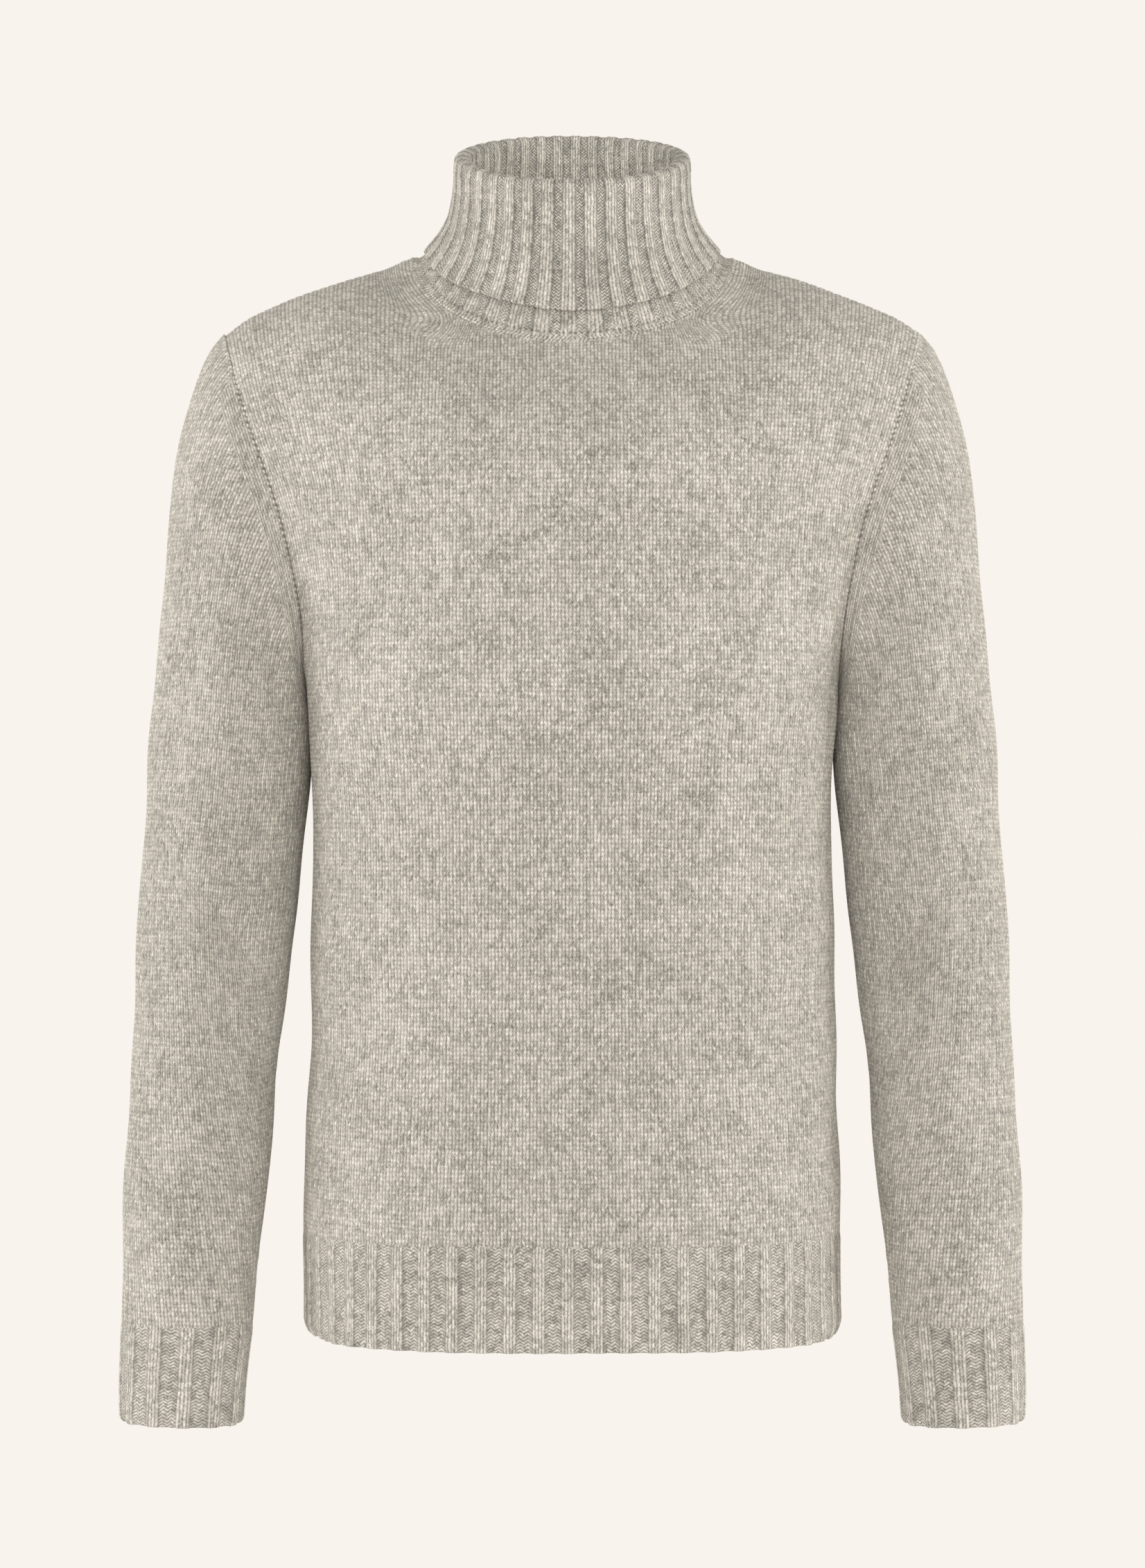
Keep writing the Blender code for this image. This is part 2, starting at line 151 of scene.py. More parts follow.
BODY = table(
    "z half_width front back",
    (-664, 168.0, 122, 115),
    (-601, 166.4, 122, 113),
    (-520, 164.4, 119, 108),
    (-440, 161.9, 118, 104),
    (-366, 160.4, 121, 108),
    (-314, 160.6, 125, 116),
    (-268, 163.0, 128, 122),
    (-220, 163.0, 129.5, 126),
    (-180, 163.0, 129.5, 127),
    (-150, 163.0, 129.0, 127),
)

ARMHOLE = table(
    "z x",
    (ARMPIT_Z, ARMPIT_X),
    (-221, 166.0),
    (-200, 169.5),
    (-170, 176.0),
    (-144, 184.0),
    (-122, 192.0),
    (-92, 202.0),
    (SHOULDER_TIP["z"], SHOULDER_TIP["x"]),
)

SHOULDER = table(
    "x y z",
    (98.0, 0.0, -3.0),
    (128.0, 1.5, -10.5),
    (157.0, 3.0, -20.8),
    (185.0, 4.2, -31.2),
    (204.0, 4.8, -39.5),
    (216.0, 5.0, -48.0),
)

SLEEVE = table(
    "out_x out_z in_x in_z front back mid_y armhole_share",
    (216.0, -48, 163.0, -268, 64, 60, 0.0, 1.00),
    (225.5, -62, 163.4, -273, 66, 62, 0.0, 0.80),
    (235.5, -86, 163.2, -280, 68, 64, 0.0, 0.50),
    (243.6, -121, 162.6, -288, 69, 65, -0.5, 0.20),
    (249.5, -163, 162.1, -298, 68, 65, -1.0, 0.05),
    (254.8, -220, 161.6, -311, 66, 64, -2.0, 0.00),
    (259.6, -278, 162.3, -331, 63, 62, -3.5, 0.00),
    (264.4, -338, 165.4, -360, 60, 59, -5.5, 0.00),
    (268.6, -398, 170.2, -400, 56, 56, -8.0, 0.00),
    (272.2, -469, 178.8, -469, 51, 51, -12.0, 0.00),
    (274.6, -546, 186.6, -546, 45, 45, -16.5, 0.00),
    (276.4, -624, 193.2, -624, 39, 39, -21.0, 0.00),
    (276.9, -657, 196.4, -657, 36, 36, -23.0, 0.00),
    (277.0, -718, 203.2, -718, 31, 31, -26.0, 0.00),
)
# The rows of that table, counted from 0, where the sleeve and its cuff end
SLEEVE_END = 12.0
CUFF_END = 13.0

COLLAR = table(
    "half_width front_y back_y front_z side_z back_z",
    (96.8, -86.8, 70.8, -60.4, -3.0, -4.5),
    (87.2, -84.3, 71.8, -43.0, 1.2, 8.0),
    (76.9, -82.0, 71.2, -28.0, 12.1, 22.0),
    (69.3, -78.0, 69.0, -11.0, 23.2, 40.0),
    (65.6, -74.0, 65.0, 10.0, 38.0, 62.0),
    (64.5, -71.2, 60.5, 33.0, 59.0, 79.0),
    (65.5, -72.2, 61.5, 35.5, 61.5, 81.5),
    (68.0, -74.7, 64.0, 36.5, 62.5, 82.5),
    (70.5, -77.2, 66.5, 35.5, 61.5, 81.5),
    (71.5, -78.2, 67.5, 33.0, 59.0, 79.0),
    (71.7, -80.5, 71.0, 10.0, 43.0, 60.5),
    (74.9, -84.0, 75.0, -11.0, 25.4, 40.0),
    (80.3, -87.5, 78.5, -28.0, 14.6, 22.0),
    (88.2, -90.5, 82.0, -42.5, 4.6, 8.5),
)
# The row of that table where the collar rolls over
COLLAR_TOP = 7.0
# Rows of the collar's mesh between one ring of the table and the next
COLLAR_ROWS = (8, 8, 8, 9, 9, 3, 3, 3, 3, 10, 10, 9, 9)


# ---------------------------------------------------------------- the garment's form


def smooth(stations, values, at):
    """Reads a smooth curve through the table's points."""
    slopes = np.gradient(values, stations)
    at = np.clip(at, stations[0], stations[-1])
    i = np.clip(np.searchsorted(stations, at) - 1, 0, len(stations) - 2)
    step = stations[i + 1] - stations[i]
    t = (at - stations[i]) / step
    start = (1 + 2 * t) * (1 - t) ** 2 * values[i] + t * (1 - t) ** 2 * step * slopes[i]
    end = t * t * (3 - 2 * t) * values[i + 1] + t * t * (t - 1) * step * slopes[i + 1]
    return start + end


def ease(share):
    """Goes from 0 to 1 with no corner at either end."""
    share = np.clip(share, 0, 1)
    return share * share * (3 - 2 * share)


def ease_over(value, low, high):
    """Goes from 0 at low to 1 at high."""
    return ease((value - low) / (high - low))


def bell(distance, height, width):
    """The height where the distance is 0, and almost nothing two widths away."""
    return height * np.exp(-((distance / width) ** 2))


def unit(vectors):
    return vectors / np.maximum(np.linalg.norm(vectors, axis=-1, keepdims=True), SMALLEST)


def mirrored(points):
    """The same points on the other side of the middle."""
    return points * (-1, 1, 1)


def signed(places):
    """What turns a point's x to the side of each place, and keeps its y and z."""
    return np.stack([np.sign(places), places**0, places**0], axis=-1)


def path_length(points, axis=0):
    """How far along a row or column of points each one lies."""
    steps = np.linalg.norm(np.diff(points, axis=axis), axis=-1)
    pad = [(1, 0) if k == axis else (0, 0) for k in range(steps.ndim)]
    return np.cumsum(np.pad(steps, pad), axis=axis)


def read_path(points, along, at):
    """The points of one path at the given lengths along it."""
    return np.stack([np.interp(at, along, points[:, k]) for k in range(3)], axis=-1)


def read_halves(path, at):
    """The points of a row whose right half is a path, at the given lengths from its centre."""
    return read_path(path, path_length(path), np.abs(at)) * signed(at)


def grid_normals(points, turn, closed):
    """Normals of a grid of points, from the steps to its neighbours."""
    along = np.gradient(points, axis=0)
    if closed:
        across = np.roll(points, -1, axis=1) - np.roll(points, 1, axis=1)
    else:
        across = np.gradient(points, axis=1)
    return turn * unit(np.cross(across, along))


def half_towards(cosine):
    """Rises from 0 at the side to 1 at the centre, with a soft corner at the side."""
    rise = cosine + np.sqrt(cosine**2 + NECK_CORNER**2) - NECK_CORNER
    return rise / (1 + math.sqrt(1 + NECK_CORNER**2) - NECK_CORNER)


def neck_ring(angle, half_width, front_y, back_y, front_z, side_z, back_z):
    """A point of a tilted oval round the neck. The angle is 0 at the centre front."""
    cosine = np.cos(angle)
    y = np.where(cosine > 0, front_y * cosine, -back_y * cosine)
    front = (front_z - side_z) * half_towards(cosine)
    back = (back_z - side_z) * half_towards(-cosine)
    return np.stack([half_width * np.sin(angle), y, side_z + front + back], axis=-1)


def neckline(angle):
    return neck_ring(
        angle, NECK_HALF_WIDTH, NECK_FRONT["y"], NECK_BACK["y"],
        NECK_FRONT["z"], NECK_SIDE_Z, NECK_BACK["z"],
    )


def armhole(turn, depth_sign, depth):
    """A point of the right armhole. The turn is 0 at the shoulder and pi at the armpit."""
    z = ARMHOLE_MIDDLE_Z + ARMHOLE_REACH * np.cos(turn)
    y = SHOULDER_TIP["y"] * (1 + np.cos(turn)) / 2 + depth_sign * depth * np.sin(turn)
    return np.stack([smooth(ARMHOLE["z"], ARMHOLE["x"], z), y, z], axis=-1)


def armhole_turn(z):
    return math.acos(np.clip((z - ARMHOLE_MIDDLE_Z) / ARMHOLE_REACH, -1, 1))


def half_curve(x, y, z):
    """Evenly spaced points of a curve from the panel's centre to its edge, at one level."""
    length = np.concatenate([[0], np.cumsum(np.hypot(np.diff(x), np.diff(y)))])
    at = np.linspace(0, length[-1], CURVE_POINTS)
    across = np.interp(at, length, x)
    return np.stack([across, np.interp(at, length, y), np.full_like(across, z)], axis=-1)


def body_curve(z, side):
    """The cloth across the right half of one panel at one level."""
    spec = SIDES[side]
    middle_y = spec["sign"] * smooth(BODY["z"], BODY[side], z)
    below_armhole = z <= ARMPIT_Z
    if below_armhole:
        edge_x, edge_y = smooth(BODY["z"], BODY["half_width"], z), 0.0
    else:
        edge_x, edge_y, _ = armhole(armhole_turn(z), spec["sign"], spec["armhole"])
    cut = math.acos(max(0.0, edge_y / middle_y) ** (BODY_POWER / 2))
    full_x = edge_x / math.sin(cut) ** (2 / BODY_POWER)
    t = np.linspace(0, cut, CURVE_POINTS)
    oval = half_curve(
        full_x * np.sin(t) ** (2 / BODY_POWER), middle_y * np.cos(t) ** (2 / BODY_POWER), z
    )
    if below_armhole:
        return oval
    t = np.linspace(0, math.pi / 2, CURVE_POINTS)
    chest_y = edge_y + (middle_y - edge_y) * np.cos(t) ** 2
    chest = half_curve(edge_x * np.sin(t) ** (2 / CHEST_POWER), chest_y, z)
    return oval + (chest - oval) * ease((z - ARMPIT_Z) / CHEST_FLATTENS_OVER)


def neck_angle(side, x):
    angle = np.arcsin(np.clip(x / NECK_HALF_WIDTH, -1, 1))
    return angle if side == "front" else math.pi - angle


def ridge_line(x):
    """The crest from shoulder to shoulder, carried on over the neck opening."""
    reach = np.maximum(np.abs(x), NECK_HALF_WIDTH)
    y, z = (smooth(SHOULDER["x"], SHOULDER[axis], reach) for axis in ("y", "z"))
    return y, z + NECK_BASE_RISE * (1 - np.minimum(np.abs(x) / NECK_HALF_WIDTH, 1) ** 2)


def yoke_bend(side, x, chest_y):
    """How round the cloth bends from the chest line to the crest, which sets its neckline."""
    inner = np.clip(np.abs(x), 0, NECK_BEND_SHARE * NECK_HALF_WIDTH)
    point = neckline(neck_angle(side, inner))
    ridge_y, ridge_z = ridge_line(inner)
    y_share = (point[:, 1] - ridge_y) / (chest_y - ridge_y)
    z_share = (point[:, 2] - CHEST_Z) / (ridge_z - CHEST_Z)
    bend = 2 * np.log(np.sqrt(1 - z_share**2)) / np.log(y_share)
    return bend + (SHOULDER_BEND - bend) * ease_over(np.abs(x), NECK_HALF_WIDTH, SHOULDER_BEND_X)


def wale_steps(count):
    """The stitches across a row that has so many wales on each side of its centre."""
    return np.arange(-count * STEPS_PER_WALE, count * STEPS_PER_WALE + 1) / STEPS_PER_WALE


def wale_places(wales, count, pitch, length, band):
    """How far from the centre each wale lies in a row that may be too short for all of them.

    The outermost wales keep their place along the edge, and the ones inside them end against
    them, as they do where a knitter narrows the piece a few stitches in from its edge."""
    from_edge = (count - np.abs(wales)) * pitch
    in_band = np.abs(wales) >= count - band
    inner_most = length - band * pitch
    reach = np.where(in_band, length - from_edge, np.minimum(np.abs(wales) * pitch, inner_most))
    return np.sign(wales) * reach, in_band


class Grid:
    """Points of a knitted piece in rows up it, with the stitch that lies at each.

    band says which points lie in a band knitted along a seam, and band_wales and band_courses
    are the stitches there."""

    def __init__(self, points, wales, courses, seam, owner, turn, closed):
        self.points, self.wales, self.courses = points, wales, courses
        self.band = np.zeros(wales.shape, bool)
        self.band_wales, self.band_courses = wales, courses
        self.seam, self.owner = seam, owner
        self.turn, self.closed = turn, closed
        if closed:
            around = grid_normals(points[:, :-1], turn, True)
            self.normals = np.concatenate([around, around[:, :1]], axis=1)
            owner[:, -1] = 0
        else:
            self.normals = grid_normals(points, turn, False)

    def add_band(self, band, wales, courses):
        self.band, self.band_wales, self.band_courses = band, wales, courses

    def relief(self):
        return wale_relief(np.where(self.band, self.band_wales, self.wales))


def lean(normals, from_seam, share, direction):
    """Turns the normals near a seam towards a direction that both its pieces have."""
    for reach, most in ((SHARED_REACH, share), (SEAM_REACH, 1.0)):
        fall = bell(from_seam, most, reach)
        normals = unit(normals + fall[..., None] * (direction - normals))
    return normals


def owners(places):
    """For each point, the first point of its row that lies at the same place."""
    rows, columns = places.shape
    owner = np.tile(np.arange(columns), (rows, 1))
    for j in range(1, columns):
        same = np.abs(places[:, j] - places[:, j - 1]) < TINY
        owner[same, j] = owner[same, j - 1]
    return owner


def seams(shape, **known):
    """How far each point is from each seam, along it and from the roll of the collar."""
    return {name: known.get(name, np.full(shape, FAR)) for name in SEAMS}


def rib_grid(points, length, stitch, turn, closed, **known):
    """A grid of ribbed knit, which has the same wales in every row."""
    reach = (len(points), 1)
    return Grid(
        points, np.tile(stitch, reach), length / COURSE, seams(length.shape, **known),
        np.tile(np.arange(len(stitch)), reach), turn, closed,
    )


def levels(low, high, step):
    return np.linspace(low, high, max(2, round((high - low) / step) + 1))


def panel_grid(side):
    """A body panel from its rib band to the neckline and the shoulders."""
    sign = SIDES[side]["sign"]
    wales = wale_steps(BODY_WALES)
    rows_z = np.concatenate([
        levels(HEM_RIB_TOP_Z, ARMPIT_Z, ROW_STEP),
        ARMPIT_Z + np.array(ARMPIT_ROWS),
        levels(ARMPIT_Z, CHEST_Z, ROW_STEP)[1:],
    ])
    armpit_pitch = path_length(body_curve(ARMPIT_Z, side))[-1] / BODY_WALES
    rows, places, stitches, from_armhole = [], [], [], []
    for z in rows_z:
        curve = body_curve(z, side)
        length = path_length(curve)[-1]
        pitch = length / BODY_WALES if z <= ARMPIT_Z else armpit_pitch
        at, in_band = wale_places(wales, BODY_WALES, pitch, length, EDGE_BAND_WALES)
        rows.append(read_halves(curve, at))
        places.append(at)
        stitches.append(np.where(in_band, wales, at / pitch))
        away = (length - np.abs(at)) if z > ARMPIT_Z else np.full(len(at), FAR)
        from_armhole.append(np.maximum(away, (ARMPIT_Z - z) * 2))

    start, shares = rows[-1], places[-1] / path_length(body_curve(CHEST_Z, side))[-1]
    edge_x = start[-1, 0]
    top_x = np.interp(
        np.abs(start[:, 0]), (0, NECK_HALF_WIDTH, edge_x),
        (0, NECK_HALF_WIDTH, SHOULDER_TIP["x"]),
    )
    corner = np.argmin(np.abs(top_x - NECK_HALF_WIDTH))
    top_x[[corner, len(top_x) - 1 - corner]] = NECK_HALF_WIDTH
    top_x = top_x * np.sign(start[:, 0])
    ridge_y, ridge_z = ridge_line(top_x)
    bend = yoke_bend(side, top_x, start[:, 1])
    on_neck = np.abs(top_x) <= NECK_HALF_WIDTH + TINY
    end = np.stack([top_x, ridge_y, ridge_z], axis=-1)
    end[on_neck] = neckline(neck_angle(side, top_x[on_neck]))
    cut = np.clip((end[:, 1] - ridge_y) / (start[:, 1] - ridge_y), 0, 1)
    turn = np.linspace(0, 1, CURVE_POINTS)[:, None] * np.arccos(cut ** (bend / 2))
    y = ridge_y + (start[:, 1] - ridge_y) * np.maximum(np.cos(turn), 0) ** (2 / bend)
    z = CHEST_Z + (ridge_z - CHEST_Z) * np.sin(turn)
    length = path_length(np.stack([np.zeros_like(y), y, z], axis=-1))
    chest_turn = armhole_turn(CHEST_Z)
    steps = round(length[-1].max() / ROW_STEP)
    close = 1 - np.array(NECK_ROWS) / length[-1, len(top_x) // 2]
    for v in np.unique(np.append(np.arange(1, steps) / steps, close)):
        edge = armhole(chest_turn * (1 - v), sign, SIDES[side]["armhole"])
        out = (edge[0] - edge_x) / (SHOULDER_TIP["x"] - edge_x)
        at = v * length[-1]
        place = [[np.interp(at[j], length[:, j], axis[:, j]) for j in range(len(at))]
                 for axis in (y, z)]
        row = np.stack([start[:, 0] + (top_x - start[:, 0]) * out, *place], axis=-1)
        row += v**NECKLINE_PULL * (end - np.stack([top_x, y[-1], z[-1]], axis=-1))
        slide = (edge - row[-1]) * signed(shares)
        rows.append(row + (np.abs(shares) ** EDGE_PULL)[:, None] * slide)
        places.append(places[-1])
        stitches.append(stitches[-1])
        from_armhole.append(from_armhole[-1])

    points = np.array(rows)
    from_neck, along_neck, across_neck = neck_reach(points, side)
    along_armhole = np.tile(path_length(points[:, -1])[:, None], (1, len(wales)))
    along_armhole = along_armhole[-1:] - along_armhole
    along = np.where(from_neck < np.array(from_armhole), along_neck, along_armhole)
    grid = Grid(
        points, np.array(stitches), path_length(points) / COURSE,
        seams(from_neck.shape, armhole=np.array(from_armhole), neck=from_neck, along=along),
        owners(np.array(places)), -sign, False,
    )
    turned = ease_over(across_neck, *NECK_TURN) * ease_over(from_neck, *NECK_BAND[::-1])
    start = np.argmin(np.abs(points[-1, :, 0] - NECK_TURN[1]))
    out = np.sign(grid.wales) * (grid.wales[-1, start] + from_neck / WALE)
    up = grid.courses[-1, start] + (np.abs(along_neck) - along_neck[-1, start]) / COURSE
    grid.add_band(
        turned > 0,
        grid.wales + turned * (out - grid.wales), grid.courses + turned * (up - grid.courses),
    )
    return grid, on_neck


def neck_reach(points, side):
    """How far each point is from the neckline, and how far along and across that is nearest."""
    angles = np.linspace(-math.pi / 2, math.pi / 2, NECK_MARKS)
    line = neckline(angles if side == "front" else math.pi - angles)
    along = path_length(line)
    along = along - along[-1] / 2
    away = np.full(points.shape[:2], FAR)
    nearest = np.zeros(points.shape[:2], int)
    for i in np.flatnonzero(points[..., 2].max(axis=1) > line[:, 2].min() - FAR / 3):
        every = np.linalg.norm(points[i][:, None] - line[None], axis=-1)
        nearest[i] = every.argmin(axis=1)
        away[i] = every.min(axis=1)
    return np.minimum(away, FAR), along[nearest], np.abs(line[nearest, 0])


def sleeve_ring(station, turns, depth_sign):
    """Half of a ring of the right sleeve, in front of its middle or behind it."""
    stations = np.arange(len(SLEEVE["out_x"]), dtype=float)
    at = {name: smooth(stations, column, station) for name, column in SLEEVE.items()}
    depth = at["front"] if depth_sign < 0 else at["back"]
    share = at["armhole_share"]
    cosine = np.cos(turns)
    x = (at["out_x"] + at["in_x"]) / 2 + (at["out_x"] - at["in_x"]) / 2 * cosine
    z = (at["out_z"] + at["in_z"]) / 2 + (at["out_z"] - at["in_z"]) / 2 * cosine
    y = at["mid_y"] + share * SHOULDER_TIP["y"] * (1 + cosine) / 2
    y = y + depth_sign * depth * np.sin(turns)
    edge = armhole(turns, depth_sign, depth)
    chord = np.interp(edge[:, 2], (ARMPIT_Z, SHOULDER_TIP["z"]), (ARMPIT_X, SHOULDER_TIP["x"]))
    return np.stack([x + share * (edge[:, 0] - chord), y, z], axis=-1)


def sleeve_half(depth_sign):
    """The right sleeve's cloth on one side, in rows that start along the armhole seam."""
    turns = np.linspace(0, math.pi, SLEEVE_TURNS)
    stations = np.linspace(0, SLEEVE_END, round(SLEEVE_END) * SLEEVE_STATION_STEPS + 1)
    rings = np.array([sleeve_ring(station, turns, depth_sign) for station in stations])
    along = path_length(rings)
    band = EDGE_BAND_WALES * WALE
    near = np.arange(0, band, BAND_ROW_STEP)
    rest = round((along[-1].max() - band) / ROW_STEP)
    share = np.arange(rest + 1) / rest
    rows = []
    for j in range(SLEEVE_TURNS):
        at = np.concatenate([near, band + (along[-1, j] - band) * share])
        rows.append(read_path(rings[:, j], along[:, j], at))
    return np.stack(rows, axis=1)


def sleeve_grid():
    """The right sleeve, open along its underarm seam, from the armhole down to the cuff."""
    wales = wale_steps(SLEEVE_WALES)
    halves = {-1.0: sleeve_half(-1.0), 1.0: sleeve_half(1.0)}
    rows, places, stitches, turned = [], [], [], []
    for i in range(len(halves[1.0])):
        row = np.zeros((len(wales), 3))
        place, stitch, turn = (np.zeros(len(wales)) for _ in range(3))
        for depth_sign, half in halves.items():
            mine = wales * depth_sign >= 0
            along = path_length(half[i])
            pitch = max(WALE, along[-1] / SLEEVE_WALES)
            at, in_band = wale_places(
                wales[mine], SLEEVE_WALES, pitch, along[-1], UNDERARM_BAND_WALES
            )
            row[mine] = read_path(half[i], along, np.abs(at))
            place[mine] = at
            stitch[mine] = np.where(in_band, wales[mine], at / pitch)
            turn[mine] = np.abs(at) / along[-1] * math.pi
        rows.append(row)
        places.append(place)
        stitches.append(stitch)
        turned.append(turn)
    points = np.array(rows)[::-1]
    from_armhole = path_length(points[::-1])[::-1]
    along_seam = path_length(points[-1])
    along_seam = np.tile(np.abs(along_seam - along_seam[-1] / 2), (len(points), 1))
    grid = Grid(
        points, np.array(stitches)[::-1], path_length(points) / COURSE,
        seams(from_armhole.shape, armhole=from_armhole, along=along_seam),
        owners(np.array(places)[::-1]), 1.0, True,
    )
    beside_seam = from_armhole < EDGE_BAND_WALES * WALE + TINY
    beside_seam &= np.array(turned)[::-1] > SLEEVE_BAND_TURN
    grid.add_band(beside_seam, from_armhole / WALE, along_seam / COURSE)
    return grid


# ---------------------------------------------------------------- ribs


def rib_wave(share, raised_share):
    """How high a 2 x 2 rib stands at a share of its repeat, from 0 sunk to 1 raised."""
    from_crest = np.abs((share - RIB_CENTRE + 0.5) % 1 - 0.5)
    return ease((raised_share / 2 + RIB_SOFT - from_crest) / (2 * RIB_SOFT))


def rib_stitch(share, raised_share):
    """The wale at a share of a rib's repeat: 0 to 2 on raised wales, 2 to 4 on sunk ones."""
    turned = (share - RIB_CENTRE + raised_share / 2) % 1
    return np.where(
        turned < raised_share, 2 * turned / raised_share,
        2 + 2 * (turned - raised_share) / (1 - raised_share),
    )


def wale_relief(stitch):
    """Two rounded legs to each wale, with a deep groove between wales and a shallow one within."""
    part = stitch % 1
    legs = np.abs(np.sin(2 * math.pi * part))
    centre = np.clip(1 - np.abs(part - 0.5) * 4, 0, 1)
    return WALE_RELIEF * (2 * legs - 1) + (WALE_RELIEF + WALE_CENTRE_RELIEF) * centre


# ---------------------------------------------------------------- soft unevenness and creases

# Waves of the cloth that no knitter makes on purpose. Those across it go on round its sides.
UNEVEN = (
    # length across, length up, phase, height
    (0.0, 150.0, 0.4, 0.50),
    (190.0, 260.0, 1.9, 0.55),
    (-130.0, 95.0, 3.1, 0.35),
    (85.0, -140.0, 0.9, 0.30),
    (-60.0, 70.0, 5.2, 0.22),
)
UNEVEN_ROUND_SIDES = 0.4

# Soft troughs (depth above 0) and ridges (below 0) on the viewer's right half, which the left
# half mirrors. Side is -1 in front and 1 behind.
BODY_CREASES = (
    # side, x and z of one end, x and z of the other, width, depth
    (-1, 160, -282, 141, -268, 3.6, 1.3),
    (-1, 163, -292, 147, -286, 3.2, 0.9),
    (-1, 152, -250, 136, -224, 8.0, 0.8),
    (-1, 150, -300, 138, -420, 14.0, 0.9),
    (1, 161, -284, 138, -262, 4.2, 1.5),
    (1, 162, -298, 144, -292, 3.6, 1.0),
    (1, 148, -240, 120, -205, 9.0, 1.1),
    (1, 60, -395, 132, -430, 15.0, 1.2),
    (1, 30, -450, 110, -470, 17.0, 1.0),
    (1, 150, -320, 140, -400, 13.0, 1.0),
)
SLEEVE_CREASES = (
    (-1, 179, -230, 181, -272, 5.5, 2.0),
    (-1, 176, -262, 171, -345, 8.0, 2.0),
    (-1, 176, -322, 206, -318, 8.0, 0.7),
    (-1, 182, -420, 214, -410, 9.0, 1.0),
    (-1, 184, -446, 222, -452, 8.0, -0.8),
    (-1, 186, -478, 216, -470, 9.0, 0.9),
    (-1, 196, -610, 226, -602, 8.0, 0.7),
    (1, 181, -240, 190, -275, 6.5, 1.4),
    (1, 172, -306, 204, -290, 7.0, 1.1),
    (1, 240, -436, 268, -428, 10.0, 1.1),
    (1, 186, -426, 220, -440, 9.0, 1.2),
    (1, 186, -468, 214, -470, 8.0, 1.0),
    (1, 200, -608, 236, -600, 9.0, 0.9),
)
CREASE_END_FADE = 0.55
CREASE_CLEAR_OF_SEAM = 5.0

# How much slimmer the lower sides and the elbows hang, and how much fuller the shoulder is
# beside the neck, where the collar stands on it
SIDE_TRIM, SIDE_TRIM_Z, SIDE_TRIM_OVER = 1.3, -400.0, 60
ELBOW_TRIM, ELBOW_Z, ELBOW_REACH = 2.0, -415.0, 90
NECK_FILL, NECK_FILL_X, NECK_FILL_WIDTH, NECK_FILL_DROP = 2.4, 101, 10, 16


def unevenness(points):
    """A slow wave over the cloth, in millimetres, the same wherever two pieces meet."""
    height = np.zeros(points.shape[:-1])
    for across, up, phase, wave in UNEVEN:
        turns = points[..., 2] / up
        if across:
            turns = turns + (points[..., 0] + UNEVEN_ROUND_SIDES * points[..., 1]) / across
        height += wave * np.sin(2 * math.pi * turns + phase)
    return height


def creases(grid, rows):
    """How far the listed creases press the cloth in, which is nothing at the armhole seam."""
    depth = np.zeros(grid.wales.shape)
    flat = np.stack([np.abs(grid.points[..., 0]), grid.points[..., 2]], axis=-1)
    for side, x0, z0, x1, z1, width, deep in rows:
        start, way = np.array([x0, z0]), np.array([x1 - x0, z1 - z0])
        share = np.clip(((flat - start) @ way) / (way @ way), 0, 1)
        away = np.linalg.norm(flat - (start + share[..., None] * way), axis=-1)
        fade = 1 - CREASE_END_FADE * np.abs(share * 2 - 1) ** 2
        facing = np.clip(grid.normals[..., 1] * side * 2, 0, 1)
        depth += bell(away, deep, width) * fade * facing
    return depth * (1 - bell(grid.seam["armhole"], 1, CREASE_CLEAR_OF_SEAM))


def facing_aside(across):
    """0 where the cloth faces the front or the back, and 1 where it nearly faces a side."""
    return ease((across - 0.45) / 0.5)


def side_trim(grid):
    low = ease((SIDE_TRIM_Z - grid.points[..., 2]) / SIDE_TRIM_OVER)
    return SIDE_TRIM * facing_aside(np.abs(grid.normals[..., 0])) * low


def elbow_trim(grid):
    beside = bell(grid.points[..., 2] - ELBOW_Z, 1, ELBOW_REACH)
    return ELBOW_TRIM * facing_aside(grid.normals[..., 0]) * beside


def neck_fill(points, from_ridge):
    beside = bell(np.abs(points[..., 0]) - NECK_FILL_X, 1, NECK_FILL_WIDTH)
    return NECK_FILL * beside * bell(from_ridge, 1, NECK_FILL_DROP)


# ---------------------------------------------------------------- shells


def round_edge(distance, radius):
    """How far a face falls back to make a round edge, at a distance from that edge."""
    inside = np.clip(radius - distance, 0, radius * 0.97)
    return radius - np.sqrt(radius**2 - inside**2)


def inner_steps(count, step):
    """Every so many rows or columns, with the first and the last."""
    return np.unique(np.append(np.arange(0, count, step), count - 1))


def corners(cells, order):
    """What lies at the four corners of each cell of a grid, one way round it or the other."""
    a, b = cells[:-1, :-1], cells[:-1, 1:]
    c, d = cells[1:, 1:], cells[1:, :-1]
    return np.stack([a, b, c, d], axis=-1).reshape(-1, 4)[:, ::order]


def new_object(name, data):
    item = bpy.data.objects.new(name, data)
    bpy.context.scene.collection.objects.link(item)
    return item


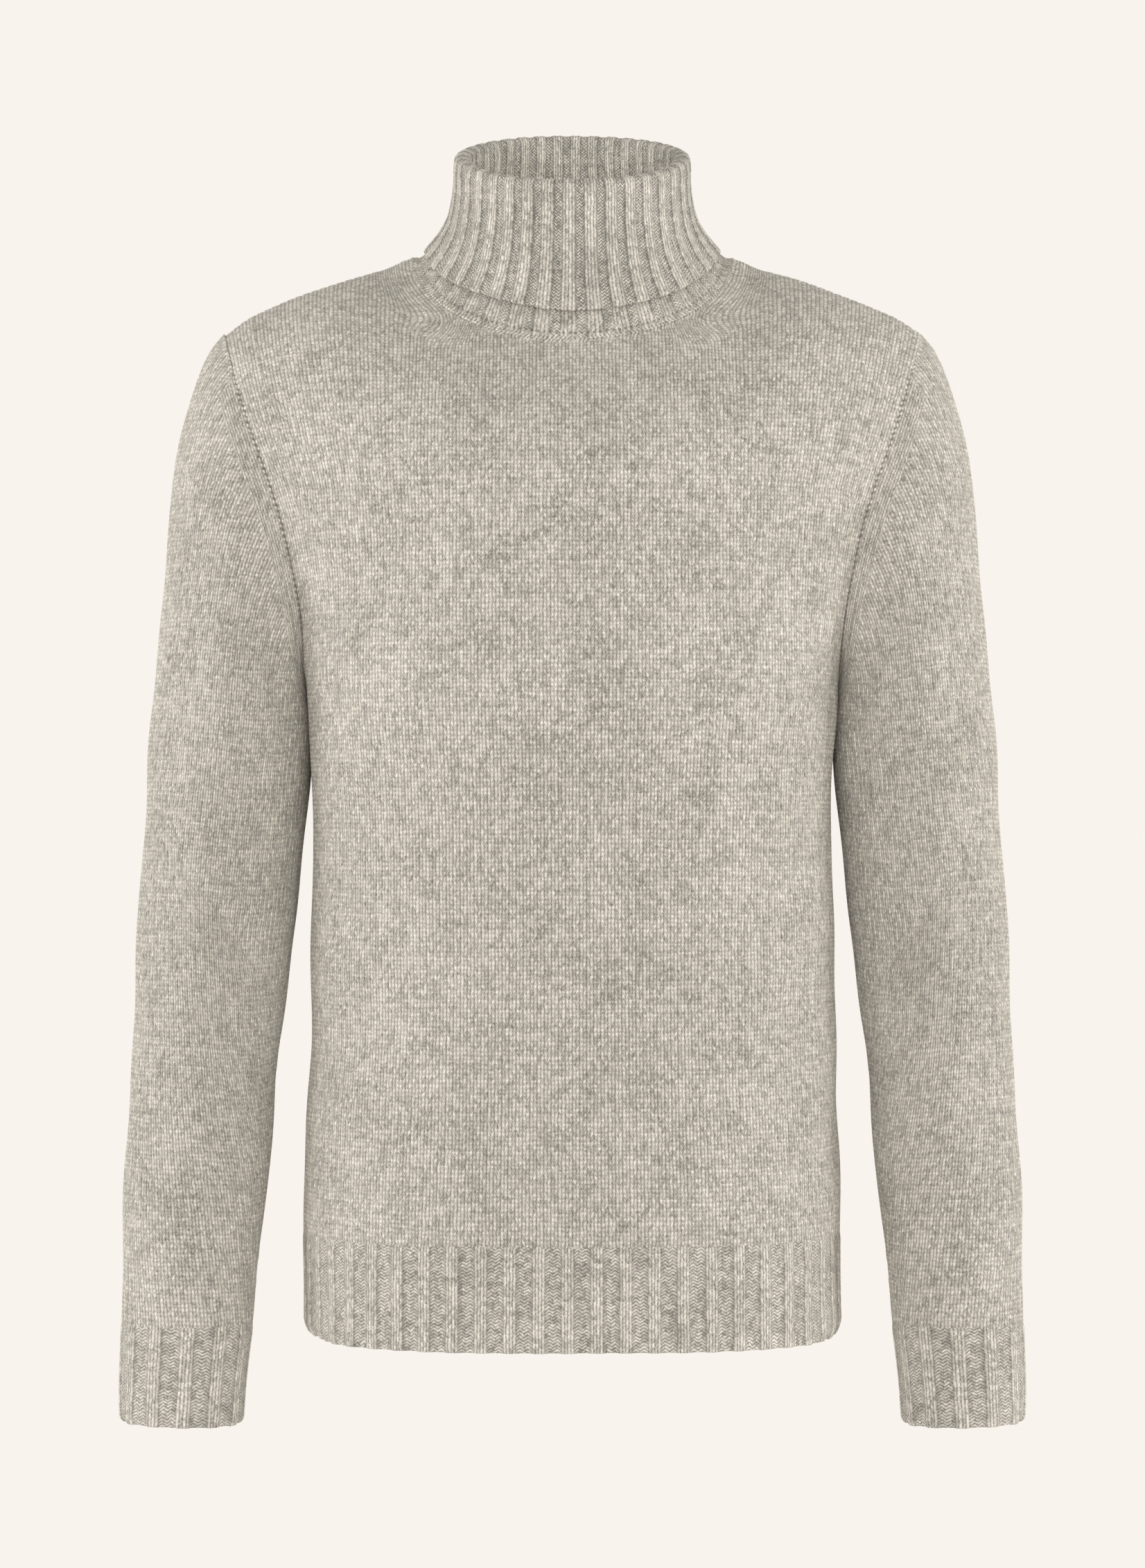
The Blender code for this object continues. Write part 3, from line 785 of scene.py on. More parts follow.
class Shell:
    """Collects the faces of one closed knitted shell, with the stitch at each corner."""

    def __init__(self):
        self.points, self.faces, self.stitches, self.inside = [], [], [], []
        self.seam = {name: [] for name in SEAMS}
        self.count = 0

    def add_points(self, points, seam):
        first = self.count
        self.points.append(points.reshape(-1, 3))
        for name, rows in self.seam.items():
            rows.append(seam[name].reshape(-1))
        self.count += points.shape[0] * points.shape[1]
        return first

    def add_face(self, face, stitches, inside=False, flip=False):
        """Adds a face without its repeated corners, and leaves out one that has no width."""
        kept = [k for k in range(len(face)) if face[k] != face[k - 1]]
        if len(kept) < 3 or len({face[k] for k in kept}) < len(kept):
            return
        kept = kept[::-1] if flip else kept
        self.faces.append([face[k] for k in kept])
        self.stitches += [stitches[k] for k in kept]
        self.inside.append(inside)

    def add_grid(self, ids, grid, pick, order, inside):
        in_band = corners(grid.band[pick], order).all(axis=1)[:, None]
        u, v = (
            np.where(in_band, corners(band[pick], order), corners(plain[pick], order)).tolist()
            for band, plain in (
                (grid.band_wales, grid.wales), (grid.band_courses, grid.courses)
            )
        )
        for face, across, up in zip(corners(ids, order).tolist(), u, v):
            self.add_face(face, list(zip(across, up)), inside)

    def build(self, name, materials):
        points = np.concatenate(self.points) * METRE
        used = np.zeros(len(points), bool)
        used[[k for face in self.faces for k in face]] = True
        number = (np.cumsum(used) - 1).tolist()
        mesh = bpy.data.meshes.new(name)
        faces = [[number[k] for k in face] for face in self.faces]
        mesh.from_pydata(points[used].tolist(), [], faces)
        layer = mesh.uv_layers.new(name="stitches")
        layer.data.foreach_set("uv", np.array(self.stitches, np.float32).ravel())
        for seam, rows in self.seam.items():
            values = mesh.attributes.new(f"seam_{seam}", "FLOAT", "POINT")
            values.data.foreach_set("value", np.concatenate(rows)[used].astype(np.float32))
        for material in materials:
            mesh.materials.append(material)
        mesh.polygons.foreach_set("material_index", np.array(self.inside, np.int32))
        mesh.shade_smooth()
        mesh.set_sharp_from_angle(angle=SHARP_EDGE)
        mesh.update()
        return new_object(name, mesh)


def make_shell(name, grid, outer, inner, materials, steps, mirror):
    """One knitted piece: a fine outer face, a coarser inner one and a rim where it is open."""
    owner = grid.owner
    rows, columns = owner.shape
    if mirror:
        outer, inner = mirrored(outer), mirrored(inner)
    turn = 1 if (grid.turn > 0) != mirror else -1
    shell = Shell()
    first = shell.add_points(outer, grid.seam)
    ids = first + np.arange(rows)[:, None] * columns + owner
    shell.add_grid(ids, grid, np.ix_(range(rows), range(columns)), turn, False)

    across, up = inner_steps(columns, steps[0]), inner_steps(rows, steps[1])
    pick = np.ix_(up, across)
    first = shell.add_points(inner[pick], {key: far[pick] for key, far in grid.seam.items()})
    place = {int(j): n for n, j in enumerate(across)}
    held = np.empty((len(up), len(across)), int)
    for n, i in enumerate(up):
        leader = {}
        for m, j in enumerate(across):
            head = int(owner[i, j])
            leader.setdefault(head, place.get(head, m))
            held[n, m] = leader[head]
    inner_ids = first + np.arange(len(up))[:, None] * len(across) + held
    shell.add_grid(inner_ids, grid, pick, -turn, True)

    # The open edges: bottom, top and, unless the piece is a tube, its left and right
    edges = ((True, 0), (True, -1), (False, 0), (False, -1))
    for along_row, fixed in edges[:2] if grid.closed else edges:
        marks = across if along_row else up
        for n in range(len(marks) - 1):
            run = range(marks[n], marks[n + 1] + 1)
            where = [(fixed, k) if along_row else (k, fixed) for k in run]
            pair = [(fixed, k) if along_row else (k, fixed) for k in (n + 1, n)]
            stitches = [(grid.wales[w], grid.courses[w]) for w in where]
            shell.add_face(
                [ids[w] for w in where] + [inner_ids[w] for w in pair],
                [*stitches, stitches[-1], stitches[0]],
                flip=(along_row == (fixed == 0)) == (turn > 0),
            )
    return shell.build(name, materials)


# ---------------------------------------------------------------- the pieces

# Seams: how far they press the cloth in or hold it up, and how wide
SEAM_DENT, SEAM_WIDTH = 0.9, 1.6
RIDGE_DENT = 0.25
ARMHOLE_LIFT = 0.15
# The chain along the neckline, with a dent below it and one above
CHAIN_FROM_SEAM, CHAIN_HEIGHT, CHAIN_WIDTH = 0.5, 0.7, 1.1
BELOW_CHAIN, BELOW_CHAIN_DEPTH = 2.9, 0.35
ABOVE_CHAIN, ABOVE_CHAIN_DEPTH = 3.7, 0.7

# Hem and cuffs: the share of a repeat that is raised, how high, and where the ribs begin
BAND_RAISED, RIB_LIFT, RIB_FADE = 0.44, 1.15, 6.0
RIB_WALE_RELIEF = 0.16
# Raised ribs hang lower at the free edge, and its corners are rounded off
EDGE_WAVE, EDGE_WAVE_REACH = 0.3, 4
HEM_CORNER, HEM_CORNER_REACH = 9.0, 26.0
CUFF_CORNER, CUFF_CORNER_REACH = 4.0, 12.0
CUFF_TILT, CUFF_TILT_REACH = 0.9, 25.0

# Collar: its ribs start above the seam, change faces over a band and flatten over the roll
COLLAR_RAISED, COLLAR_LIFT = 0.6, 1.25
COLLAR_START, COLLAR_START_OVER = 2, 5
COLLAR_BAND, COLLAR_BAND_FADE = 24.0, 8
ROLL_FLATTENS, ROLL_REACH = 0.6, 8.0
# Its foot meets the panels' rims, and stands a little further out at the neck's sides
COLLAR_BLEND = 2.5
SIDE_FILL, SIDE_FILL_FROM_SEAM, SIDE_FILL_WIDTH = 1.3, 9, 7
# The last two rings of its table lie about this far apart
LAST_RING_GAP = 14.0
# Its free edge is uneven: with the ribs, round the neck and lower at the neck's sides
FREE_EDGE_WAVE, FREE_EDGE_SIDE_DROP, FREE_EDGE_REACH = 0.4, 3.6, 9
# turns round the neck, phase, height
RAGGED = ((3, 0.6, 0.5), (7, 2.1, 0.35))
SIDE_POWER = 8
# A slow wave over the whole strip: its height, scale across, phase and scale up
COLLAR_UNEVEN = (0.5, 17, 1.0, 23)


def rib_places(ribs, raised_share):
    """Shares round or across a rib band, with the wale and the height at each."""
    periods = np.linspace(0, ribs, ribs * STEPS_PER_RIB + 1)
    shifted = periods - RIB_CENTRE + raised_share / 2
    whole = np.floor(shifted)
    stitch = WALES_PER_RIB * whole + rib_stitch(periods, raised_share)
    return periods / ribs, stitch, rib_wave(periods, raised_share)


def rib_relief(stitch, wave):
    """Two rounded wales on each raised rib."""
    return RIB_WALE_RELIEF * wave * (2 * np.abs(np.sin(math.pi * stitch)) - 1)


def make_piece(name, node, grid, faces, materials, steps=INNER_STEPS, mirror=False):
    """Builds a piece from its outer and inner points, hangs it from the root body and hides the
    solid that it stands for."""
    item = make_shell(name, grid, *faces, materials, steps, mirror)
    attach(item, "root")
    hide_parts(node)


def make_pair(stem, grid, faces, materials):
    """Builds the right one of two pieces, and the left one as its mirror image."""
    for hand in ("right", "left"):
        node = f"{stem}_{hand}"
        make_piece(
            f"knit_{node}", node, grid, faces, materials, mirror=hand == "left"
        )


def lifted(grid, *lifts):
    """The grid's points, moved out of the cloth by each of the lifts."""
    return [grid.points + grid.normals * lift[..., None] for lift in lifts]


def square_edges(grid, rows):
    """Makes the cloth at both sides of some rows meet the other panel's without a crease."""
    for column in (0, -1):
        grid.normals[rows, column, 1] = 0.0
    grid.normals = unit(grid.normals)


def share_armhole(panels, sleeve):
    """Gives each panel and the sleeve one slope along the seam between them."""
    middle = sleeve.wales.shape[1] // 2
    ring = sleeve.points[-1]
    for side, sign in (("front", -1.0), ("back", 1.0)):
        grid = panels[side]
        mine = slice(0, middle + 1) if sign < 0 else slice(middle, None)
        up = np.argsort(ring[mine, 2])
        ring_z, ring_out = ring[mine, 2][up], sleeve.normals[-1, mine][up]
        edge_z = grid.points[:, -1, 2]
        rows = np.flatnonzero(edge_z > ARMPIT_Z)
        out = grid.normals[rows, -1]
        other = read_path(ring_out, ring_z, edge_z[rows])
        share = ease_over((out * other).sum(axis=-1), *SHARED_AGREE)
        shared = unit(out + other)
        columns = grid.points.shape[1]
        for half, flip in ((slice(columns // 2, None), 1), (slice(0, columns // 2), -1)):
            grid.normals[rows, half] = lean(
                grid.normals[rows, half], grid.seam["armhole"][rows, half],
                share[:, None], shared[:, None] * (flip, 1, 1),
            )
        at = ring[mine, 2]
        sleeve_share = np.interp(at, edge_z[rows], share)
        sleeve_shared = read_path(shared, edge_z[rows], at)
        sleeve.normals[:, mine] = lean(
            sleeve.normals[:, mine], sleeve.seam["armhole"][:, mine], sleeve_share, sleeve_shared,
        )


def build_panel(side, grid, on_neck, materials):
    sign = SIDES[side]["sign"]
    from_top = path_length(grid.points)
    from_top = from_top[-1] - from_top
    below = grid.points[:, 0, 2] <= ARMPIT_Z
    grid.points[-1, ~on_neck, 1] += sign * SEAM_GAP / 2
    grid.points[below, 0, 1] += sign * SEAM_GAP / 2
    grid.points[below, -1, 1] += sign * SEAM_GAP / 2
    grid.points[~below, -1] -= SEAM_GAP / 2 * ARMHOLE_OUTWARD
    grid.points[~below, 0] -= SEAM_GAP / 2 * mirrored(ARMHOLE_OUTWARD)
    from_edge = (BODY_WALES - np.abs(grid.wales)) * WALE
    from_ridge = np.where(on_neck, FAR, from_top)
    lift = grid.relief()
    lift -= bell(from_edge, SEAM_DENT, SEAM_WIDTH) * (grid.points[..., 2] < ARMPIT_Z)
    lift -= bell(from_ridge, RIDGE_DENT, SEAM_WIDTH)
    beside = bell(grid.seam["armhole"], 1, SEAM_WIDTH)
    lift += (ARMHOLE_LIFT - lift) * beside
    chain = bell(grid.seam["neck"] - CHAIN_FROM_SEAM, 1, CHAIN_WIDTH)
    lift += (CHAIN_HEIGHT - lift) * chain
    lift -= bell(grid.seam["neck"] - BELOW_CHAIN, BELOW_CHAIN_DEPTH, CHAIN_WIDTH)
    shape = unevenness(grid.points) - side_trim(grid) - creases(grid, BODY_CREASES)
    shape += neck_fill(grid.points, from_top)
    faces = lifted(grid, shape + lift, shape - CLOTH)
    make_piece(f"knit_{side}", f"{side}_body", grid, faces, materials)
    rim, across = faces[0][-1, on_neck], grid.points[-1, on_neck, 0]
    return (rim, across) if side == "front" else (rim[::-1], across[::-1])


def build_panels_and_sleeves(materials):
    """Makes the body and the sleeves, and returns what the collar needs of the neckline."""
    panels, on_neck = {}, {}
    for side in SIDES:
        panels[side], on_neck[side] = panel_grid(side)
        grid = panels[side]
        grid.normals[-1, ~on_neck[side], 1] = 0.0
        corner = grid.points[-1, np.argmax(on_neck[side])] * (-1, 1, 1)
        away = np.linalg.norm(grid.points * signed(grid.wales) - corner, axis=-1)
        grid.normals[..., 1] *= 1 - bell(away, 1, NECK_CORNER_REACH)
        square_edges(grid, grid.points[:, 0, 2] <= ARMPIT_Z)
    sleeve = sleeve_grid()
    share_armhole(panels, sleeve)
    sleeve.points[-1] += SEAM_GAP / 2 * ARMHOLE_OUTWARD
    edge = [build_panel(side, panels[side], on_neck[side], materials) for side in SIDES]
    lift = sleeve.relief()
    lift += (ARMHOLE_LIFT - lift) * bell(sleeve.seam["armhole"], 1, SEAM_WIDTH)
    shape = unevenness(sleeve.points) - elbow_trim(sleeve) - creases(sleeve, SLEEVE_CREASES)
    faces = lifted(sleeve, shape + lift, shape - CLOTH)
    make_pair("sleeve", sleeve, faces, materials)
    return edge


def band_lifts(grid, wave, from_start, from_free_edge, trim=0.0, dent=0.0):
    """The lifts of a rib band's two faces, faded where it starts and round at its free edge."""
    fade = ease(from_start / RIB_FADE)
    shape = unevenness(grid.points) - trim
    raised = RIB_LIFT * (wave - 0.5) * fade + rib_relief(grid.wales, wave)
    fall = round_edge(from_free_edge, RIB_CLOTH / 2)
    return shape + raised - fall - dent, shape - RIB_CLOTH + fall


def edge_wave(wave, up):
    """How far the ribs pull a free edge down."""
    return EDGE_WAVE * (wave - 0.5) * np.exp(-up / EDGE_WAVE_REACH)


def round_corners(points, up, radius, middle, reach):
    """Draws in the outermost parts of a free edge, so that its corners are round."""
    out = points[..., 0] - middle
    half = np.abs(out).max(axis=1)[:, None]
    share = ease((np.abs(out) - (half - reach)) / reach)
    points[..., 0] -= np.sign(out) * share * round_edge(up, radius)


def edge_levels(edge_z, other_z):
    """Rows from a band's free edge to where it is knitted on, with close rows at the edge."""
    rest = levels(edge_z + EDGE_ROWS[-1], other_z, RIB_ROW_STEP)
    return np.concatenate([edge_z + np.array(EDGE_ROWS[:-1]), rest])


def build_hem(side, materials):
    sign = SIDES[side]["sign"]
    share, stitch, wave = rib_places(HEM_RIBS_PER_PANEL, BAND_RAISED)
    rows = []
    for z in edge_levels(HEM_Z, HEM_RIB_TOP_Z - SEAM_GAP / 2):
        curve = body_curve(z, side)
        rows.append(read_halves(curve, (2 * share - 1) * path_length(curve)[-1]))
    points = np.array(rows)
    points[:, (0, -1), 1] += sign * SEAM_GAP / 2
    up = points[..., 2] - HEM_Z
    points[..., 2] -= edge_wave(wave, up)
    round_corners(points, up, HEM_CORNER, 0.0, HEM_CORNER_REACH)
    grid = rib_grid(points, path_length(points), stitch, -sign, False)
    square_edges(grid, slice(None))
    from_side = (1 - np.abs(2 * share - 1)) * path_length(points, axis=1)[:, -1:] / 2
    lifts = band_lifts(
        grid, wave, HEM_RIB_TOP_Z - points[..., 2], up, side_trim(grid),
        bell(from_side, SEAM_DENT, SEAM_WIDTH),
    )
    node = f"hem_rib_{side}"
    make_piece(f"knit_{node}", node, grid, lifted(grid, *lifts), materials)


def build_cuffs(materials):
    share, stitch, wave = rib_places(CUFF_RIBS, BAND_RAISED)
    turns = np.abs(1 - 2 * share) * math.pi
    in_front = (share < 0.5)[:, None]
    ends = [sleeve_ring(s, np.zeros(1), 1.0)[0] for s in (SLEEVE_END, CUFF_END)]
    length = path_length(np.array(ends))[-1]
    from_edge = edge_levels(0.0, length - SEAM_GAP / 2)
    rows = []
    for reach in from_edge:
        station = CUFF_END - (CUFF_END - SLEEVE_END) * reach / length
        rows.append(np.where(in_front, *(sleeve_ring(station, turns, s) for s in (-1.0, 1.0))))
    points = np.array(rows)
    up = np.tile(from_edge[:, None], (1, len(share)))
    points[..., 2] -= edge_wave(wave, up)
    middle = (points[..., 0].max(axis=1) + points[..., 0].min(axis=1))[:, None] / 2
    round_corners(points, up, CUFF_CORNER, middle, CUFF_CORNER_REACH)
    points[..., 2] += CUFF_TILT * np.cos(turns) * np.exp(-up / CUFF_TILT_REACH)
    grid = rib_grid(points, path_length(points), stitch, 1.0, True)
    faces = lifted(grid, *band_lifts(grid, wave, length - up, up))
    make_pair("cuff", grid, faces, materials)


def collar_grid():
    """The collar's middle surface, from the neckline up, over its roll and down to its edge."""
    share, stitch, wave = rib_places(COLLAR_RIBS, COLLAR_RAISED)
    stations = np.arange(len(COLLAR["half_width"]), dtype=float)
    at = [np.linspace(k, k + 1, n, endpoint=False) for k, n in enumerate(COLLAR_ROWS)]
    last = 1 - np.array(EDGE_ROWS[::-1][3:]) / LAST_RING_GAP
    at = np.concatenate([*at, stations[-1] - 1 + last])
    at = np.unique(np.round(at, 5))
    angles = share * 2 * math.pi
    rows = []
    for station in at:
        ring = [smooth(stations, column, station) for column in COLLAR.values()]
        rows.append(neck_ring(angles, *ring))
    points = np.array(rows)
    points[0] += SEAM_GAP / 2 * unit(points[1] - points[0])
    along = path_length(points)
    from_edge = along[-1] - along
    ragged = sum(height * np.sin(turns * angles + phase) for turns, phase, height in RAGGED)
    drop = FREE_EDGE_SIDE_DROP * np.sin(angles) ** SIDE_POWER
    pull = FREE_EDGE_WAVE * (wave - 0.5) + ragged + drop
    pull = pull * np.exp(-from_edge / FREE_EDGE_REACH)
    points[1:] += pull[1:, :, None] * unit(points[1:] - points[:-1])
    round_neck = path_length(points[0])
    round_neck = round_neck[-1] / 4 - np.abs(round_neck[-1] / 2 - round_neck)
    past_roll = along - along[np.argmin(np.abs(at - COLLAR_TOP))]
    grid = rib_grid(
        points, along, stitch, -1.0, True,
        neck=along, along=np.tile(round_neck, (len(points), 1)), roll=past_roll,
    )
    return grid, wave, from_edge


def build_collar(edge, materials):
    grid, wave, from_edge = collar_grid()
    along = grid.seam["neck"]
    fall = round_edge(from_edge, RIB_CLOTH / 2)
    band = ease((COLLAR_BAND + COLLAR_BAND_FADE - along) / COLLAR_BAND_FADE)
    lift = COLLAR_LIFT * (1 - ROLL_FLATTENS * bell(grid.seam["roll"], 1, ROLL_REACH))
    start = ease((along - COLLAR_START) / COLLAR_START_OVER)
    face = RIB_CLOTH / 2 + (lift * wave + rib_relief(grid.wales, wave)) * start - fall
    face -= bell(along - ABOVE_CHAIN, ABOVE_CHAIN_DEPTH, CHAIN_WIDTH)
    angles = np.linspace(0, 2 * math.pi, along.shape[1])
    beside = np.abs(np.sin(angles)) ** SIDE_POWER
    face += SIDE_FILL * beside * bell(along - SIDE_FILL_FROM_SEAM, 1, SIDE_FILL_WIDTH)
    back = RIB_CLOTH / 2 + band * lift * (1 - wave) * start - fall
    height, across, phase, up = COLLAR_UNEVEN
    shape = height * np.sin(grid.points[..., 0] / across + phase)
    shape = shape * np.sin(grid.points[..., 2] / up)
    outer, inner = lifted(grid, face + shape, shape - back)

    marks = np.linspace(0, 1, NECK_MARKS)
    rims, turned = [], []
    for rim, across in edge:
        share = path_length(rim)
        share = share / share[-1]
        rims.append(read_path(rim, share, marks))
        across = np.interp(marks, share, across) / NECK_HALF_WIDTH
        turned.append(np.arcsin(np.clip(across, -1, 1)))
    turned[1] = math.pi - turned[1]
    rim, turned = np.concatenate(rims), np.concatenate(turned)
    order = np.argsort(turned)
    turned, rim = turned[order], rim[order]
    turned = np.concatenate([turned - 2 * math.pi, turned, turned + 2 * math.pi])
    target = read_path(np.tile(rim, (3, 1)), turned, angles)
    target = target + SEAM_GAP * unit(outer[1] - target)
    outer += (target - outer[0]) * np.exp(-(along / COLLAR_BLEND) ** 2)[..., None]
    faces = (outer, inner)
    make_piece("knit_collar", "collar", grid, faces, materials, COLLAR_INNER_STEPS)


# ---------------------------------------------------------------- wool


class Field:
    """A number that shader nodes work out for each point of a surface."""

    def __init__(self, tree, socket):
        self.tree, self.socket = tree, socket

    def math(self, operation, *others, clamp=False):
        node = self.tree.nodes.new("ShaderNodeMath")
        node.operation, node.use_clamp = operation, clamp
        for value, socket in zip((self, *others), node.inputs):
            link(self.tree, value, socket)
        return Field(self.tree, node.outputs[0])

    __add__ = __radd__ = partialmethod(math, "ADD")
    __sub__ = partialmethod(math, "SUBTRACT")
    __mul__ = __rmul__ = partialmethod(math, "MULTIPLY")
    __pow__ = partialmethod(math, "POWER")
    part = partialmethod(math, "FRACT")
    whole = partialmethod(math, "FLOOR")
    size = partialmethod(math, "ABSOLUTE")
    # Kept from 0 to 1
    held = partialmethod(math, "ADD", 0.0, clamp=True)

    def __rsub__(self, other):
        return (self * -1.0) + other

    def bell(self, centre, width):
        """1 at the centre and near 0 a width away."""
        return (((self - centre) * (1 / width)) ** 2.0 * -1.0).math("EXPONENT")

    def blend(self, one, other):
        """one where this is 0, and other where it is 1."""
        return one * (1.0 - self) + other * self


def link(tree, value, socket):
    if isinstance(value, Field):
        tree.links.new(value.socket, socket)
    else:
        socket.default_value = value


def separate(tree, socket):
    """The three numbers of a vector."""
    node = tree.nodes.new("ShaderNodeSeparateXYZ")
    tree.links.new(socket, node.inputs[0])
    return [Field(tree, output) for output in node.outputs]


def vector(tree, x, y, z=0.0):
    node = tree.nodes.new("ShaderNodeCombineXYZ")
    for value, socket in zip((x, y, z), node.inputs):
        link(tree, value, socket)
    return node.outputs[0]


def noise(tree, place, scale, detail=1.0):
    node = tree.nodes.new("ShaderNodeTexNoise")
    node.inputs["Scale"].default_value = scale
    node.inputs["Detail"].default_value = detail
    tree.links.new(place, node.inputs["Vector"])
    return Field(tree, node.outputs["Fac"])


def speckle(tree, x, y):
    """A number from 0 to 1 that is the same all over one cell and differs from cell to cell."""
    node = tree.nodes.new("ShaderNodeTexWhiteNoise")
    node.noise_dimensions = "2D"
    tree.links.new(vector(tree, x, y), node.inputs["Vector"])
    return Field(tree, node.outputs["Value"])


def attribute(tree, name):
    node = tree.nodes.new("ShaderNodeAttribute")
    node.attribute_name = name
    return Field(tree, node.outputs["Fac"])


# The yarn's heather, from its darkest fibres to its palest
HEATHER = (
    (0.0, (0.278, 0.264, 0.230)),
    (0.34, (0.478, 0.456, 0.404)),
    (0.60, (0.640, 0.604, 0.538)),
    (1.0, (0.842, 0.808, 0.734)),
)
# How much each thing makes the yarn paler or darker
LEG_TONE, STREAK_TONE, FIBRE_TONE, CLOUD_TONE, PATCH_TONE = 0.5, 0.6, 1.5, 0.4, 0.2
# How far stitches stray from their wale and their course, and the scale of the noise
STRAY_ACROSS, STRAY_ACROSS_SCALE = 0.26, 190.0
STRAY_UP, STRAY_UP_SCALE = 0.9, 90.0
# How steep the legs of the stitches are, and how much each is set off from the next
LEG_SLOPE, NOTCHED = 0.78, 0.5
RIB_LEG_SLOPE, RIB_NOTCHED = 0.4, 0.28
PURL_ROWS_PER_COURSE, PURL_WAVE = 1.4, 0.34
# Painted shade in the gaps between stitches and painted light on their raised parts: the
# brightness in the gaps, and what the height of a stitch adds
GAP_LIGHT, HEIGHT_LIGHT = 0.25, 0.9
# How much the painted shade darkens the colour: in the seam's holes, the dent above the neckline's
# chain, beside the raised ribs and under the collar's fold
HOLE_SHADE = 0.62
STITCH_DEPTH = 0.0009
# Holes along the armhole seam. Both they and the chain slant against the seam.
HOLE_STEP, CHAIN_STEP, SEAM_SLANT = 3.9, 2.6, 0.8
# The holes fade in below the shoulder's tip, from this height down and over this length
HOLES_FROM_Z, HOLES_FADE = -58.0, 30.0
# Painted shadow on the collar's stand just below the fold's edge: its distance from the neckline,
# its reach and how dark it is
UNDER_FOLD, UNDER_FOLD_REACH, UNDER_FOLD_SHADE = 16.0, 6.5, 0.2
FINISH = {
    "Roughness": 0.95,
    "Specular IOR Level": 0.15,
    "Sheen Weight": 0.5,
    "Sheen Roughness": 0.6,
    "Sheen Tint": (0.92, 0.88, 0.80, 1.0),
}


def beads(turns, power):
    """Rounded beads, one to each whole number: 1 in the middle of each, 0 between two."""
    return 1.0 - (((turns.part() * 2.0) - 1.0).size() ** power)


def stocking_stitch(u, v, slope, notched):
    """The height of V-shaped stitches, from 0 in the gaps to 1, and the cell of each leg."""
    from_centre = (u.part() - 0.5).size() * 2.0
    across = 1.0 - ((from_centre * 2.0 - 1.0).size() ** 2.2)
    up = v - from_centre * slope
    notch = beads(up, 2.6)
    bridge = (1.0 - across) * beads(up + 0.5, 1.6) * 0.5
    height = across * (notch * notched + (1.02 - notched)) + bridge
    return height, (u * 2.0).whole(), up.whole()


def purl_stitch(u, v):
    """The height of the wavy ridges that the backs of stitches make."""
    wave = (u * (2 * math.pi)).math("COSINE") * PURL_WAVE
    up = v * PURL_ROWS_PER_COURSE + wave
    return beads(up, 1.8), (u * 2.0).whole(), up.whole()


